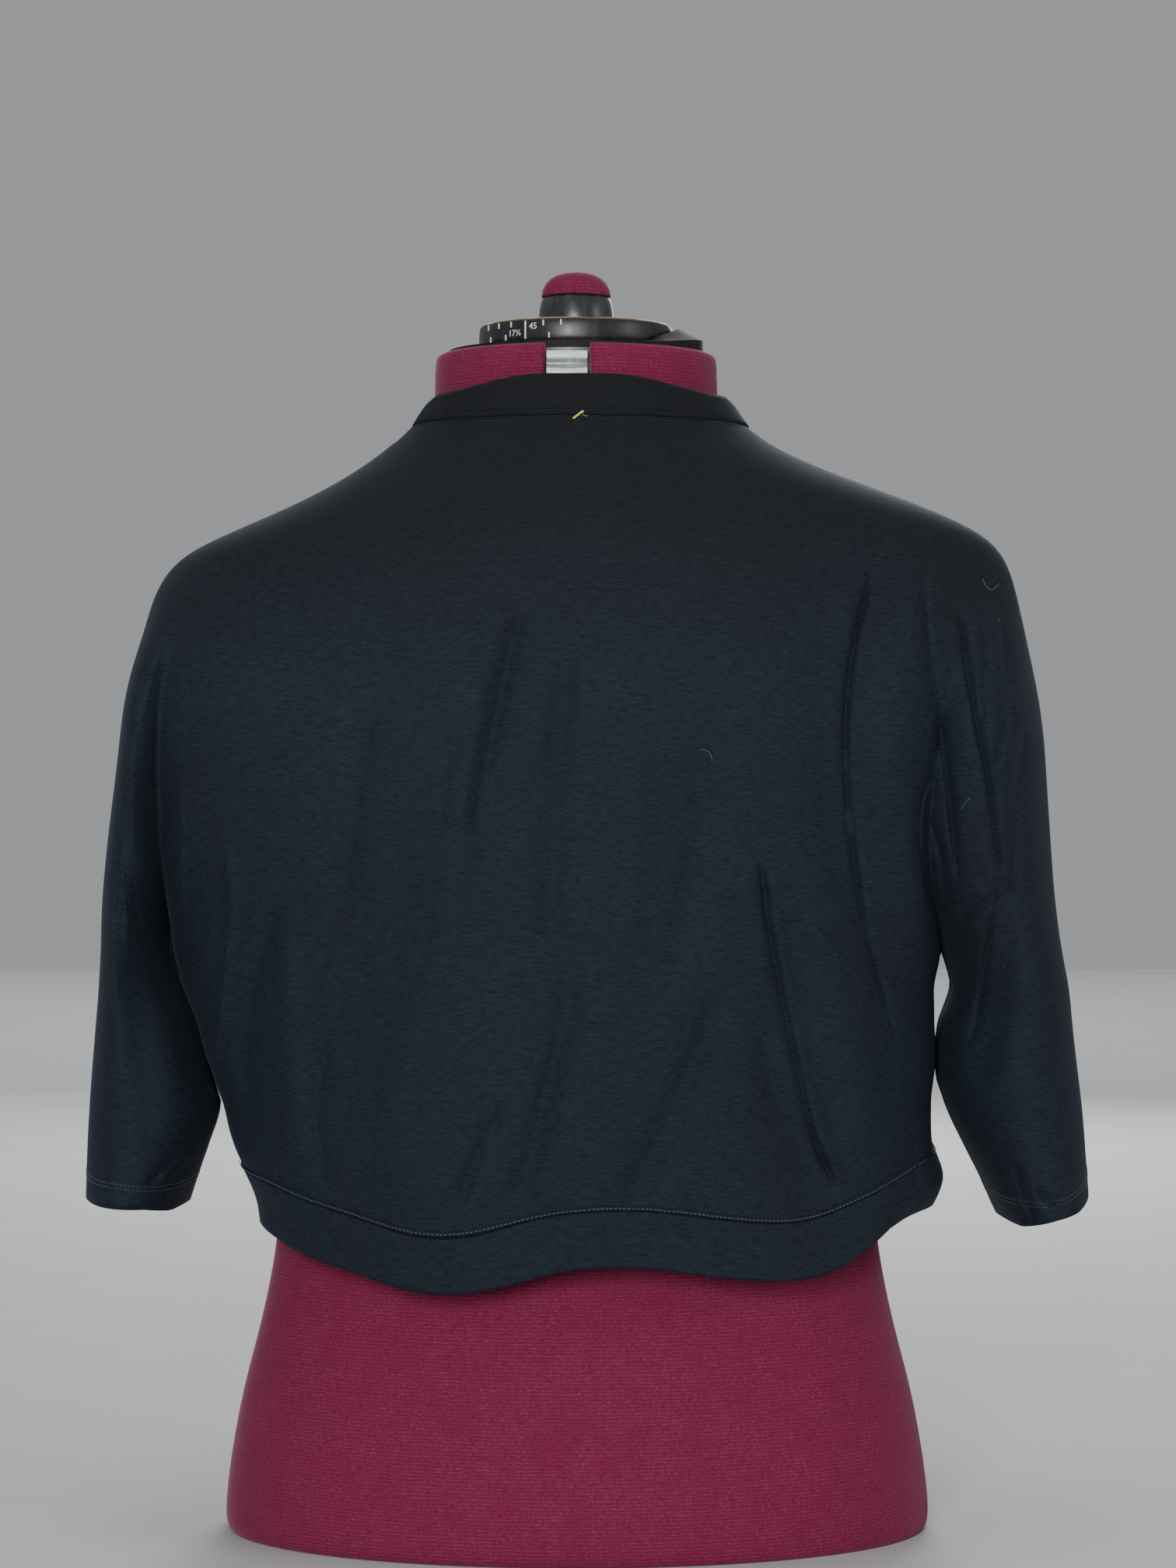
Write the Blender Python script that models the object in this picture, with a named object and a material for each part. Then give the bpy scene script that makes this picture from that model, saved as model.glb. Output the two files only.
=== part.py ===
"""A knitted shrug, worn by a limbless dress form that stands on its flat bottom.

The wearer's back faces -Y, X runs from the left sleeve as seen from behind to the
right one, and Z is up. Lengths are in metres. The outer face of the cloth is one
surface, worked out in rows from the neck down. A row is a single round over the
shoulders, and below the underarms it is three: a sleeve, the body and a sleeve. The
back is cut in one with the backs of the sleeves, each front with the front of its
sleeve, and one double band runs round the neck, the front edges and the hem.
"""

import math
from collections import namedtuple

import bpy
import numpy as np

# Cloth
CLOTH_THICKNESS = 0.0016
BAND_THICKNESS = 0.0026
BAND_PROUD = 0.0009
BAND_WIDTH = 0.028
NECK_BAND_WIDTH = 0.024
NECK_BAND_LEAN = 0.90
NECK_SIDE_WIDTH = 0.0175
NECK_SIDE_LEAN = 0.45
NECK_SIDE_START = 0.020
NECK_SIDE_REACH = 0.060
NECK_FRONT_LEAN = 1.6
NECK_FRONT_START = 0.012
NECK_FRONT_REACH = 0.024
NECK_BAND_START = 0.51
SEAM_GAP = 0.0003
REST_GAP = 0.0008

# Grid of the cloth
SLEEVE_COLUMNS = 7
BACK_COLUMNS = 26
FRONT_COLUMNS = 10
UPPER_ROWS = 19
LOWER_ROWS = 9
ROW_CROWDING = 1.35
BAND_STEPS = 2

# Heights that shape the cloth
NECK_SEAM = 0.565
UNDERARM = 0.3035
UNDERARM_TILT = -0.0085
UNDERARM_REACH = 0.2
CUFF_LEFT = 0.170
CUFF_RIGHT = 0.164
SLEEVES_START = 0.495
SLEEVES_WHOLE = 0.405
VALLEY_TOP = 0.41
VALLEY_DEPTH = 0.088
VALLEY_OPENING = 0.7
BODY_FULLNESS = 0.85
CENTRE_X = -0.0024
HEM_REACH = 0.180

Ring = namedtuple("Ring", "z left right side back front")
Pit = namedtuple("Pit", "z left right")
Low = namedtuple("Low", "z sleeve_left body_left body_right sleeve_right reach")
Hem = namedtuple("Hem", "x z")
Edge = namedtuple("Edge", "z x")
Fold = namedtuple("Fold", "top_z top_x mid_z mid_x low_z low_x depth width lip")
Body = namedtuple("Body", "z half side back front")

# The cloth's widest, rearmost and foremost points at each height, and its side seam's y
RINGS = (
    Ring(0.565, -0.0890, 0.0860, 0.014, -0.060, 0.096),
    Ring(0.555, -0.0990, 0.0985, 0.011, -0.071, 0.100),
    Ring(0.540, -0.1190, 0.1310, 0.008, -0.086, 0.107),
    Ring(0.525, -0.1450, 0.1730, 0.005, -0.098, 0.115),
    Ring(0.510, -0.1784, 0.2080, 0.003, -0.107, 0.122),
    Ring(0.497, -0.2050, 0.2185, 0.001, -0.113, 0.128),
    Ring(0.482, -0.2165, 0.2230, 0.000, -0.118, 0.134),
    Ring(0.457, -0.2235, 0.2285, 0.000, -0.125, 0.142),
    Ring(0.428, -0.2308, 0.2350, 0.000, -0.131, 0.150),
    Ring(0.379, -0.2372, 0.2395, 0.000, -0.136, 0.158),
    Ring(0.327, -0.2436, 0.2435, 0.000, -0.137, 0.160),
    Ring(0.288, -0.2458, 0.2490, 0.000, -0.136, 0.157),
    Ring(0.250, -0.2500, 0.2530, 0.000, -0.134, 0.149),
    Ring(0.207, -0.2536, 0.2580, 0.000, -0.131, 0.138),
    Ring(0.155, -0.2546, 0.2600, 0.000, -0.127, 0.126),
)

# The valleys where the sleeves part from the body, above the underarms
PITS = (
    Pit(0.3035, -0.2115, 0.1845),
    Pit(0.3300, -0.2105, 0.1770),
    Pit(0.3600, -0.2105, 0.1725),
    Pit(0.4100, -0.2080, 0.1760),
)

# Inner edge of each sleeve, each side of the body, and half of a sleeve's depth
LOWS = (
    Low(0.3035, -0.2115, -0.2115, 0.1845, 0.1845, 0.079),
    Low(0.2900, -0.2115, -0.2055, 0.1815, 0.1895, 0.078),
    Low(0.2680, -0.2036, -0.1975, 0.1805, 0.1872, 0.074),
    Low(0.2450, -0.1945, -0.1885, 0.1800, 0.1838, 0.071),
    Low(0.2250, -0.1885, -0.1830, 0.1800, 0.1845, 0.069),
    Low(0.2120, -0.1865, -0.1815, 0.1795, 0.1885, 0.068),
    Low(0.1950, -0.1920, -0.1795, 0.1795, 0.1965, 0.069),
    Low(0.1600, -0.2050, -0.1720, 0.1810, 0.2150, 0.072),
)

# Height of the seam between the back and its hem band
HEMS = (
    Hem(-0.180, 0.1870),
    Hem(-0.141, 0.1765),
    Hem(-0.108, 0.1690),
    Hem(-0.075, 0.1610),
    Hem(-0.045, 0.1645),
    Hem(-0.017, 0.1728),
    Hem(0.035, 0.1745),
    Hem(0.085, 0.1680),
    Hem(0.118, 0.1680),
    Hem(0.140, 0.1790),
    Hem(0.180, 0.1950),
)

# The open front edge, from the neck down to its lower curve, as seen from the front
EDGES = (
    Edge(0.565, 0.0815),
    Edge(0.540, 0.0780),
    Edge(0.500, 0.0800),
    Edge(0.450, 0.0860),
    Edge(0.400, 0.0930),
    Edge(0.350, 0.1010),
    Edge(0.300, 0.1120),
    Edge(0.270, 0.1230),
    Edge(0.240, 0.1400),
)
FRONT_HEM_END = 0.240
FRONT_HEM_BEND = 1.15

# Troughs across the back, from top to bottom. A negative depth is a ridge, and a
# lip is a ridge to the right of its trough, or to its left where it is negative
BACK_FOLDS = (
    Fold(0.495, 0.1415, 0.390, 0.1280, 0.240, 0.1560, 0.0085, 0.012, 0.0050),
    Fold(0.481, 0.1690, 0.418, 0.1760, 0.328, 0.1860, 0.0030, 0.008, 0.0015),
    Fold(0.467, 0.1865, 0.390, 0.2000, 0.290, 0.2040, 0.0030, 0.008, 0.0010),
    Fold(0.402, 0.2186, 0.345, 0.2150, 0.235, 0.1955, 0.0030, 0.009, 0.0000),
    Fold(0.355, 0.0860, 0.270, 0.0980, 0.140, 0.1260, 0.0100, 0.013, 0.0050),
    Fold(0.475, -0.0270, 0.412, -0.0420, 0.320, -0.0540, 0.0055, 0.014, -0.0040),
    Fold(0.410, -0.0480, 0.300, -0.0680, 0.110, -0.0800, -0.0070, 0.026, 0.0000),
    Fold(0.445, -0.0070, 0.354, -0.0140, 0.270, -0.0120, 0.0035, 0.014, 0.0000),
    Fold(0.410, 0.0570, 0.350, 0.0560, 0.280, 0.0440, 0.0030, 0.015, 0.0000),
    Fold(0.300, -0.0040, 0.230, -0.0180, 0.130, -0.0330, 0.0050, 0.015, 0.0000),
    Fold(0.290, 0.0680, 0.230, 0.0450, 0.120, 0.0180, 0.0050, 0.018, 0.0000),
    Fold(0.330, -0.1480, 0.272, -0.1620, 0.180, -0.1620, 0.0040, 0.011, 0.0020),
    Fold(0.315, -0.2300, 0.250, -0.2200, 0.160, -0.2150, 0.0030, 0.009, 0.0000),
)

# The same across the fronts, with x counted outwards from the middle on both sides
FRONT_FOLDS = (
    Fold(0.480, 0.1300, 0.380, 0.1400, 0.230, 0.1600, 0.0045, 0.013, 0.0025),
    Fold(0.430, 0.1000, 0.350, 0.1180, 0.260, 0.1340, 0.0030, 0.013, 0.0000),
    Fold(0.440, 0.1750, 0.370, 0.1850, 0.310, 0.1900, 0.0030, 0.012, 0.0000),
    Fold(0.320, 0.2280, 0.250, 0.2200, 0.160, 0.2250, 0.0030, 0.010, 0.0000),
)
FOLD_FADE = 0.28
SEAM_CALM = 0.022

# Outer face of the dress form below the shoulders
FORM_ROWS = (
    Body(0.000, 0.1860, 0.000, -0.1200, 0.1280),
    Body(0.050, 0.1800, 0.000, -0.1120, 0.1240),
    Body(0.110, 0.1640, 0.000, -0.0950, 0.1120),
    Body(0.165, 0.1550, 0.000, -0.0860, 0.1040),
    Body(0.220, 0.1600, 0.000, -0.0920, 0.1120),
    Body(0.280, 0.1680, 0.000, -0.1060, 0.1340),
    Body(0.340, 0.1720, 0.000, -0.1170, 0.1460),
    Body(0.400, 0.1780, 0.000, -0.1210, 0.1420),
    Body(0.440, 0.1900, 0.000, -0.1150, 0.1300),
    Body(0.470, 0.2020, 0.000, -0.1090, 0.1200),
    Body(0.485, 0.2045, 0.000, -0.1095, 0.1190),
)
SHOULDERS = 0.497
FORM_TOP = 0.556
FORM_TOP_INSET = 0.008
FORM_SEGMENTS = 40
FORM_LEVELS = 22
FORM_EDGE = 0.006
FORM_CROWDING = 1.25

# Neck of the dress form
NECK_X = -0.003
NECK_Y = 0.027
COLLAR_WIDE = 0.0738
COLLAR_DEEP = 0.0662
COLLAR_WALL = 0.0068
COLLAR_TOP = 0.6045
COLLAR_ROUND = 0.0045
COLLAR_FLARE = 0.003
COLLAR_FLARE_HEIGHT = 0.014
GAP_X = -0.0074
GAP_WIDTH = 0.022
SLIDER_WIDTH = 0.0205
SLIDER_DEPTH = 0.008
SLIDER_TOP = 0.6000
SLIDER_BOW = 0.0008
SLIDER_CLEAR = 0.0010
CORE_TOP = 0.6060
DIAL_RADIUS = 0.0508
DIAL_TOP = 0.6190
CAP_CLEAR = 0.0006
CAP_STEP = 0.0525
CAP_LIP_RADIUS = 0.0545
CAP_LIP = 0.0120
CAP_LIP_FALL = 0.45
CAP_LIP_REACH = 1.15
CAP_THICKNESS = 0.0035
KNOB_RADIUS = 0.0199
KNOB_TAPER = 0.0016
KNOB_RING_HEIGHT = 0.0152
KNOB_DOME_RADIUS = 0.0182
KNOB_DOME_HEIGHT = 0.0125
KNOB_DOME_BULGE = 0.72
NECK_SEGMENTS = 40
KNOB_SEGMENTS = 28
DOME_LEVELS = 6
RIM_ROUND = 0.0015
SHARP_EDGE = math.radians(40)


def clear_scene():
    for item in list(bpy.data.objects):
        bpy.data.objects.remove(item)


def material(name, colour, roughness, metallic=0.0):
    made = bpy.data.materials.new(name)
    made.use_nodes = True
    shader = made.node_tree.nodes["Principled BSDF"]
    shader.inputs["Base Color"].default_value = (*colour, 1.0)
    shader.inputs["Roughness"].default_value = roughness
    shader.inputs["Metallic"].default_value = metallic
    return made


def read(table, column, at):
    """A table's column on a smooth curve through its rows, which its first column orders."""
    rows = sorted(table)
    keys = np.array([row[0] for row in rows])
    values = np.array([getattr(row, column) for row in rows])
    slopes = np.gradient(values, keys)
    at = np.clip(np.asarray(at, float), keys[0], keys[-1])
    low = np.clip(np.searchsorted(keys, at) - 1, 0, len(keys) - 2)
    span = keys[low + 1] - keys[low]
    t = (at - keys[low]) / span
    start = (1 + 2 * t) * (1 - t) ** 2 * values[low]
    end = t**2 * (3 - 2 * t) * values[low + 1]
    bend = t * (1 - t) ** 2 * slopes[low] - t**2 * (1 - t) * slopes[low + 1]
    return start + end + span * bend


def ease(value):
    """0 below 0, 1 above 1, and a soft slope between."""
    value = np.clip(value, 0.0, 1.0)
    return value * value * (3 - 2 * value)


def side_name(sign):
    return "left" if sign < 0 else "right"


def valley_depth(z):
    share = np.clip((z - UNDERARM) / (VALLEY_TOP - UNDERARM), 0.0, 1.0)
    return VALLEY_DEPTH * math.sqrt(share)


def round_arc(z, sign, face, angles):
    """Points of the plain round that a row makes over the shoulders."""
    outer = read(RINGS, side_name(sign), z)
    side = read(RINGS, "side", z)
    depth = read(RINGS, "back" if face < 0 else "front", z) - side
    x = CENTRE_X + (outer - CENTRE_X) * np.sin(angles)
    return np.stack([x, side + depth * np.cos(angles)], axis=1)


def sleeve_arc(z, sign, face, inner, valley, reach, shares):
    """Half of a sleeve's round, from the seam over the arm to its inner edge.

    The edge turns fully back where there is no valley, and opens out the shallower
    that the valley is.
    """
    outer = read(RINGS, side_name(sign), z)
    turn = np.pi * shares
    spread = valley / VALLEY_DEPTH
    across = (1 - np.cos(turn)) / 2
    across += ((1 - np.cos(turn / 2)) - across) * spread
    x = outer + (inner - outer) * across
    y = face * (valley * (1 - np.cos(turn)) / 2 + (reach - valley / 2) * np.sin(turn))
    return np.stack([x, y], axis=1)


def body_across(shares, valley):
    """How far each share of the body's round lies towards its side, from 0 to 1."""
    opened = math.pi / 2 * VALLEY_OPENING
    across = np.sin(np.pi / 2 * shares)
    opened_across = np.sin(opened * shares) / math.sin(opened)
    return across + (opened_across - across) * valley / VALLEY_DEPTH


def body_arc(z, face, inner, valley, shares):
    """Part of the body's round: a share of 1 is its side and 0 its middle."""
    depth = abs(read(RINGS, "back" if face < 0 else "front", z))
    x = CENTRE_X + (inner - CENTRE_X) * body_across(shares, valley)
    rise = np.clip(np.cos(np.pi / 2 * shares), 0.0, 1.0) ** BODY_FULLNESS
    return np.stack([x, face * (valley + (depth - valley) * rise)], axis=1)


def upper_row(z, sign, face, body_columns, angle_end, body_shares):
    """A row above the underarm on one side: its sleeve points, then its body points."""
    columns = SLEEVE_COLUMNS + body_columns
    angles = np.linspace(np.pi / 2, angle_end, columns + 1)
    plain = round_arc(z, sign, face, angles)
    inner = read(PITS, side_name(sign), z)
    valley = valley_depth(z)
    reach = read(LOWS, "reach", z)
    shares = np.linspace(0.0, 1.0, SLEEVE_COLUMNS + 1)
    sleeve = sleeve_arc(z, sign, face, inner, valley, reach, shares)
    body = body_arc(z, face, inner, valley, body_shares)
    parted = np.concatenate([sleeve[:-1], body])
    share = ease((SLEEVES_START - z) / (SLEEVES_START - SLEEVES_WHOLE))
    flat = plain + (parted - plain) * share
    tilt = UNDERARM_TILT * ease((NECK_SEAM - z) / (NECK_SEAM - UNDERARM))
    height = z + tilt * flat[:, :1] / UNDERARM_REACH
    row = np.concatenate([flat, height], axis=1)
    return row[: SLEEVE_COLUMNS + 1], row[SLEEVE_COLUMNS:]


def lower_sleeve(top, step, sign, face):
    """A row of the sleeve below the underarm, from the height of the row it hangs from."""
    cuff = CUFF_LEFT if sign < 0 else CUFF_RIGHT
    z = top + (cuff - top) * step / LOWER_ROWS
    inner = read(LOWS, "sleeve_" + side_name(sign), z)
    shares = np.linspace(0.0, 1.0, SLEEVE_COLUMNS + 1)
    flat = sleeve_arc(z, sign, face, inner, 0.0, read(LOWS, "reach", z), shares)
    return np.concatenate([flat, np.full((len(flat), 1), z)], axis=1)


def lower_body(tops, ends, step, sign, face, shares_at):
    """A row of the body below the underarm: each point goes from its top to its hem."""
    row = []
    for column, (top, end) in enumerate(zip(tops, ends)):
        z = top + (end - top) * step / LOWER_ROWS
        inner = read(LOWS, "body_" + side_name(sign), z)
        share = shares_at(column, z, inner)
        x, y = body_arc(z, face, inner, 0.0, np.array([share]))[0]
        row.append((x, y, z))
    return np.array(row)


def upper_heights():
    steps = (np.arange(UPPER_ROWS + 1) / UPPER_ROWS) ** ROW_CROWDING
    return NECK_SEAM + (UNDERARM - NECK_SEAM) * steps


def back_half(sign):
    """The sleeve and half of the back on one side, as two grids of rows."""
    half = BACK_COLUMNS // 2
    shares = np.linspace(1.0, 0.0, half + 1)
    sleeves, bodies = [], []
    for z in upper_heights():
        sleeve, body = upper_row(z, sign, -1, half, 0.0, shares)
        sleeves.append(sleeve)
        bodies.append(body)
    sleeve_top = sleeves[-1][0, 2]
    tops = bodies[-1][:, 2]
    side = sign * HEM_REACH
    hem_x = CENTRE_X + (side - CENTRE_X) * np.sin(np.pi / 2 * shares)
    ends = read(HEMS, "z", hem_x)

    def share(column, z, inner):
        return shares[column]

    for step in range(1, LOWER_ROWS + 1):
        sleeves.append(lower_sleeve(sleeve_top, step, sign, -1))
        bodies.append(lower_body(tops, ends, step, sign, -1, share))
    return np.array(sleeves), np.array(bodies)


def edge_share(z, inner, valley):
    """Where the front edge cuts the body's round, as a share of it."""
    edge = math.copysign(read(EDGES, "x", z), inner)
    across = (edge - CENTRE_X) / (inner - CENTRE_X)
    shares = np.linspace(0.0, 1.0, 101)
    return np.interp(across, body_across(shares, valley), shares)


def front_half(sign):
    """The front of a sleeve and its front panel, as two grids of rows."""
    spread = np.linspace(0.0, 1.0, FRONT_COLUMNS + 1)
    sleeves, bodies = [], []
    for z in upper_heights():
        outer = read(RINGS, side_name(sign), z)
        inner = read(PITS, side_name(sign), z)
        edge = sign * read(EDGES, "x", z)
        angle_end = math.asin((edge - CENTRE_X) / (outer - CENTRE_X))
        shares = 1 + (edge_share(z, inner, valley_depth(z)) - 1) * spread
        sleeve, body = upper_row(z, sign, 1, FRONT_COLUMNS, angle_end, shares)
        sleeves.append(sleeve)
        bodies.append(body)
    sleeve_top = sleeves[-1][0, 2]
    tops = bodies[-1][:, 2]
    side_hem = read(HEMS, "z", sign * HEM_REACH)
    ends = side_hem + (FRONT_HEM_END - side_hem) * spread**FRONT_HEM_BEND

    def share(column, z, inner):
        return 1 + (edge_share(z, inner, 0.0) - 1) * spread[column]

    for step in range(1, LOWER_ROWS + 1):
        sleeves.append(lower_sleeve(sleeve_top, step, sign, 1))
        bodies.append(lower_body(tops, ends, step, sign, 1, share))
    return np.array(sleeves), np.array(bodies)


def fold_height(folds, x, z):
    """How far the folds move the cloth out at each point."""
    out = np.zeros_like(x)
    for fold in folds:
        path = (
            Edge(fold.low_z, fold.low_x),
            Edge(fold.mid_z, fold.mid_x),
            Edge(fold.top_z, fold.top_x),
        )
        away = x - read(path, "x", z)
        length = fold.top_z - fold.low_z
        share = (fold.top_z - z) / length
        strength = ease(share / FOLD_FADE) * ease((1 - share) / FOLD_FADE)
        trough = np.exp(-((away / fold.width) ** 2))
        beside = away - math.copysign(2 * fold.width, fold.lip)
        lip = np.exp(-((beside / fold.width) ** 2))
        out += strength * (abs(fold.lip) * lip - fold.depth * trough)
    return out


class Cloth:
    """A sheet of quads on shared points, with the numbers of the points in each grid."""

    def __init__(self, name):
        self.name = name
        self.points = []
        self.faces = []
        self.grids = {}

    def add_grid(self, key, rows, shared=None):
        """Adds a grid. Where shared holds a point's number already, that point is used."""
        numbers = np.full(rows.shape[:2], -1, int)
        if shared is not None:
            numbers[shared >= 0] = shared[shared >= 0]
        for i, j in zip(*np.nonzero(numbers < 0)):
            numbers[i, j] = len(self.points)
            self.points.append(rows[i, j])
        self.grids[key] = numbers

    def add_faces(self, key, flip):
        numbers = self.grids[key]
        for i in range(numbers.shape[0] - 1):
            for j in range(numbers.shape[1] - 1):
                corners = [numbers[i, j], numbers[i + 1, j]]
                corners += [numbers[i + 1, j + 1], numbers[i, j + 1]]
                self.faces.append(corners[::-1] if flip else corners)


def shared_column(shape, numbers, column, rows):
    shared = np.full(shape, -1, int)
    shared[:rows, column] = numbers[:rows]
    return shared


def front_sheet(name, sleeve, body, flip):
    """A front, with the front of its sleeve joined to it down to the underarm."""
    cloth = Cloth(name)
    cloth.add_grid("sleeve", sleeve)
    joined = cloth.grids["sleeve"][:, -1]
    shared = shared_column(body.shape[:2], joined, 0, UPPER_ROWS + 1)
    cloth.add_grid("body", body, shared)
    cloth.add_faces("sleeve", flip)
    cloth.add_faces("body", flip)
    return cloth


def back_sheet():
    """The back, with the backs of both sleeves."""
    cloth = Cloth("back_panel")
    for sign in (-1, 1):
        sleeve, body = back_half(sign)
        side = side_name(sign)
        cloth.add_grid("sleeve_" + side, sleeve)
        joined = cloth.grids["sleeve_" + side][:, -1]
        shared = shared_column(body.shape[:2], joined, 0, UPPER_ROWS + 1)
        if sign > 0:
            middle = cloth.grids["body_left"][:, -1]
            shared[:, -1] = middle
        cloth.add_grid("body_" + side, body, shared)
        cloth.add_faces("sleeve_" + side, sign > 0)
        cloth.add_faces("body_" + side, sign > 0)
    return cloth


def point_keys(points):
    return [tuple(key) for key in np.round(points * 1e6).astype(int)]


def shared_normals(cloths):
    """Normals of sheets that meet at seams, one for all the points in the same place."""
    sums = {}
    for cloth in cloths:
        points = np.array(cloth.points)
        keys = point_keys(cloth.seams)
        for face in cloth.faces:
            a, b, c, d = points[face]
            normal = np.cross(c - a, d - b)
            for number in face:
                key = keys[number]
                sums[key] = sums.get(key, 0) + normal
    return [
        np.array([sums[key] / np.linalg.norm(sums[key]) for key in point_keys(cloth.seams)])
        for cloth in cloths
    ]


def folded(cloth, normals, folds, mirrored, side_y):
    """The sheet's points moved out by its folds, which die away towards the seams."""
    points = np.array(cloth.points)
    x = np.abs(points[:, 0]) if mirrored else points[:, 0]
    height = fold_height(folds, x, points[:, 2])
    calm = ease(np.abs(points[:, 1] - side_y(points[:, 2])) / SEAM_CALM)
    return points + normals * (height * calm)[:, None]


def make_object(name, points, faces, surface, smooth=True):
    mesh = bpy.data.meshes.new(name)
    mesh.from_pydata([tuple(point) for point in points], [], [tuple(f) for f in faces])
    mesh.materials.append(surface)
    if smooth:
        mesh.shade_smooth()
    item = bpy.data.objects.new(name, mesh)
    bpy.context.scene.collection.objects.link(item)
    return item


def wall(outer, inner, faces):
    """A closed wall between two sheets of the same faces."""
    count = len(outer)
    edges = {(f[i], f[(i + 1) % len(f)]) for f in faces for i in range(len(f))}
    rims = [(b, a, a + count, b + count) for a, b in edges if (b, a) not in edges]
    inside = [[number + count for number in face[::-1]] for face in faces]
    return np.concatenate([outer, inner]), faces + inside + sorted(rims)


def seam_numbers(cloth):
    """The points along the seams that join a front to the back."""
    numbers = set()
    for key, grid in cloth.grids.items():
        if key.startswith("sleeve"):
            numbers.update(grid[:, 0])
            numbers.update(grid[UPPER_ROWS:, -1])
        else:
            numbers.update(grid[UPPER_ROWS:, 0])
    return sorted(numbers)


def make_panel(cloth, normals, face, surface):
    points = np.array(cloth.points)
    points[seam_numbers(cloth), 1] += face * SEAM_GAP / 2
    inner = points - normals * CLOTH_THICKNESS
    make_object(cloth.name, *wall(points, inner, cloth.faces), surface)


def band_strip(edge_points, edge_normals, inward, neck):
    """A strip outward from a seam, square to it and to the cloth's normals.

    inward says on which side of the walk along the seam the strip lies. neck is 1
    where it stands up round the neck, narrower at the sides, and 0 where it lies flat.
    """
    along = np.gradient(edge_points, axis=0)
    along /= np.linalg.norm(along, axis=1)[:, None]
    across = inward * np.cross(along, edge_normals)
    side = ease((np.abs(edge_points[:, 0] - NECK_X) - NECK_SIDE_START) / NECK_SIDE_REACH)
    front = ease((edge_points[:, 1] - NECK_FRONT_START) / NECK_FRONT_REACH)
    lean = NECK_BAND_LEAN + (NECK_SIDE_LEAN - NECK_BAND_LEAN) * side
    lean += NECK_FRONT_LEAN * front
    across += (lean * neck)[:, None] * np.array([0.0, 0.0, 1.0])
    across /= np.linalg.norm(across, axis=1)[:, None]
    normals = inward * np.cross(across, along)
    normals /= np.linalg.norm(normals, axis=1)[:, None]
    neck_width = NECK_BAND_WIDTH + (NECK_SIDE_WIDTH - NECK_BAND_WIDTH) * side
    width = BAND_WIDTH + (neck_width - BAND_WIDTH) * neck
    shares = np.linspace(0.0, 1.0, BAND_STEPS + 1)
    steps = SEAM_GAP + (width - SEAM_GAP)[:, None] * shares
    base = edge_points[:, None, :] + across[:, None, :] * steps[:, :, None]
    outer = base + normals[:, None, :] * BAND_PROUD
    inner = base - normals[:, None, :] * (BAND_THICKNESS - BAND_PROUD)
    return outer, inner


def make_band(name, outer, inner, flip, surface):
    numbers = np.arange(outer.shape[0] * outer.shape[1]).reshape(outer.shape[:2])
    faces = []
    for i in range(numbers.shape[0] - 1):
        for j in range(numbers.shape[1] - 1):
            corners = [numbers[i, j], numbers[i + 1, j]]
            corners += [numbers[i + 1, j + 1], numbers[i, j + 1]]
            faces.append(corners[::-1] if flip else corners)
    make_object(name, *wall(outer.reshape(-1, 3), inner.reshape(-1, 3), faces), surface)


def walk(cloths, normals, legs):
    """The points and normals along a list of legs, each a sheet, a grid and its cells."""
    places, turned = [], []
    for number, key, rows, columns in legs:
        numbers = cloths[number].grids[key][rows, columns]
        for n in np.atleast_1d(numbers):
            place = cloths[number].points[n]
            if places and np.linalg.norm(place - places[-1]) < 1e-5:
                continue
            places.append(np.array(place))
            turned.append(normals[number][n])
    return np.array(places), np.array(turned)


def make_bands(cloths, normals, surface):
    """The band in two lengths: up one front, round the neck and down, and the hem."""
    every = slice(None)
    back = slice(None, None, -1)
    legs = [
        (1, "body", -1, every),
        (1, "body", back, -1),
        (1, "body", 0, back),
        (1, "sleeve", 0, back),
        (0, "sleeve_left", 0, every),
        (0, "body_left", 0, every),
        (0, "body_right", 0, back),
        (0, "sleeve_right", 0, back),
        (2, "sleeve", 0, every),
        (2, "body", 0, every),
        (2, "body", every, -1),
        (2, "body", -1, back),
    ]
    places, turned = walk(cloths, normals, legs)
    neck = ease((places[:, 2] - NECK_BAND_START) / (NECK_SEAM - NECK_BAND_START))
    outer, inner = band_strip(places, turned, -1, neck)
    for strip in (outer, inner):
        strip[0, :, 1] += SEAM_GAP / 2
        strip[-1, :, 1] += SEAM_GAP / 2
    make_band("edge_band", outer, inner, False, surface)

    legs = [(0, "body_left", -1, every), (0, "body_right", -1, back)]
    places, turned = walk(cloths, normals, legs)
    outer, inner = band_strip(places, turned, 1, np.zeros(len(places)))
    for strip in (outer, inner):
        strip[0, :, 1] -= SEAM_GAP / 2
        strip[-1, :, 1] -= SEAM_GAP / 2
    make_band("hem_band", outer, inner, True, surface)


def side_y(z):
    """How far forward the side seam stands at height z."""
    return read(RINGS, "side", z)


def make_shrug(jersey, band_jersey):
    back = back_sheet()
    fronts = []
    for sign in (-1, 1):
        sleeve, body = front_half(sign)
        name = "front_panel_" + side_name(sign)
        fronts.append(front_sheet(name, sleeve, body, sign < 0))
    cloths = [back] + fronts
    for cloth in cloths:
        cloth.points = [np.array(point, float) for point in cloth.points]
        cloth.seams = np.array(cloth.points)
    normals = shared_normals(cloths)
    cloths[0].points = list(folded(back, normals[0], BACK_FOLDS, False, side_y))
    for number in (1, 2):
        moved = folded(cloths[number], normals[number], FRONT_FOLDS, True, side_y)
        cloths[number].points = list(moved)
    normals = shared_normals(cloths)
    for cloth, turned, face in zip(cloths, normals, (-1, 1, 1)):
        make_panel(cloth, turned, face, jersey)
    make_bands(cloths, normals, band_jersey)


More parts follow.
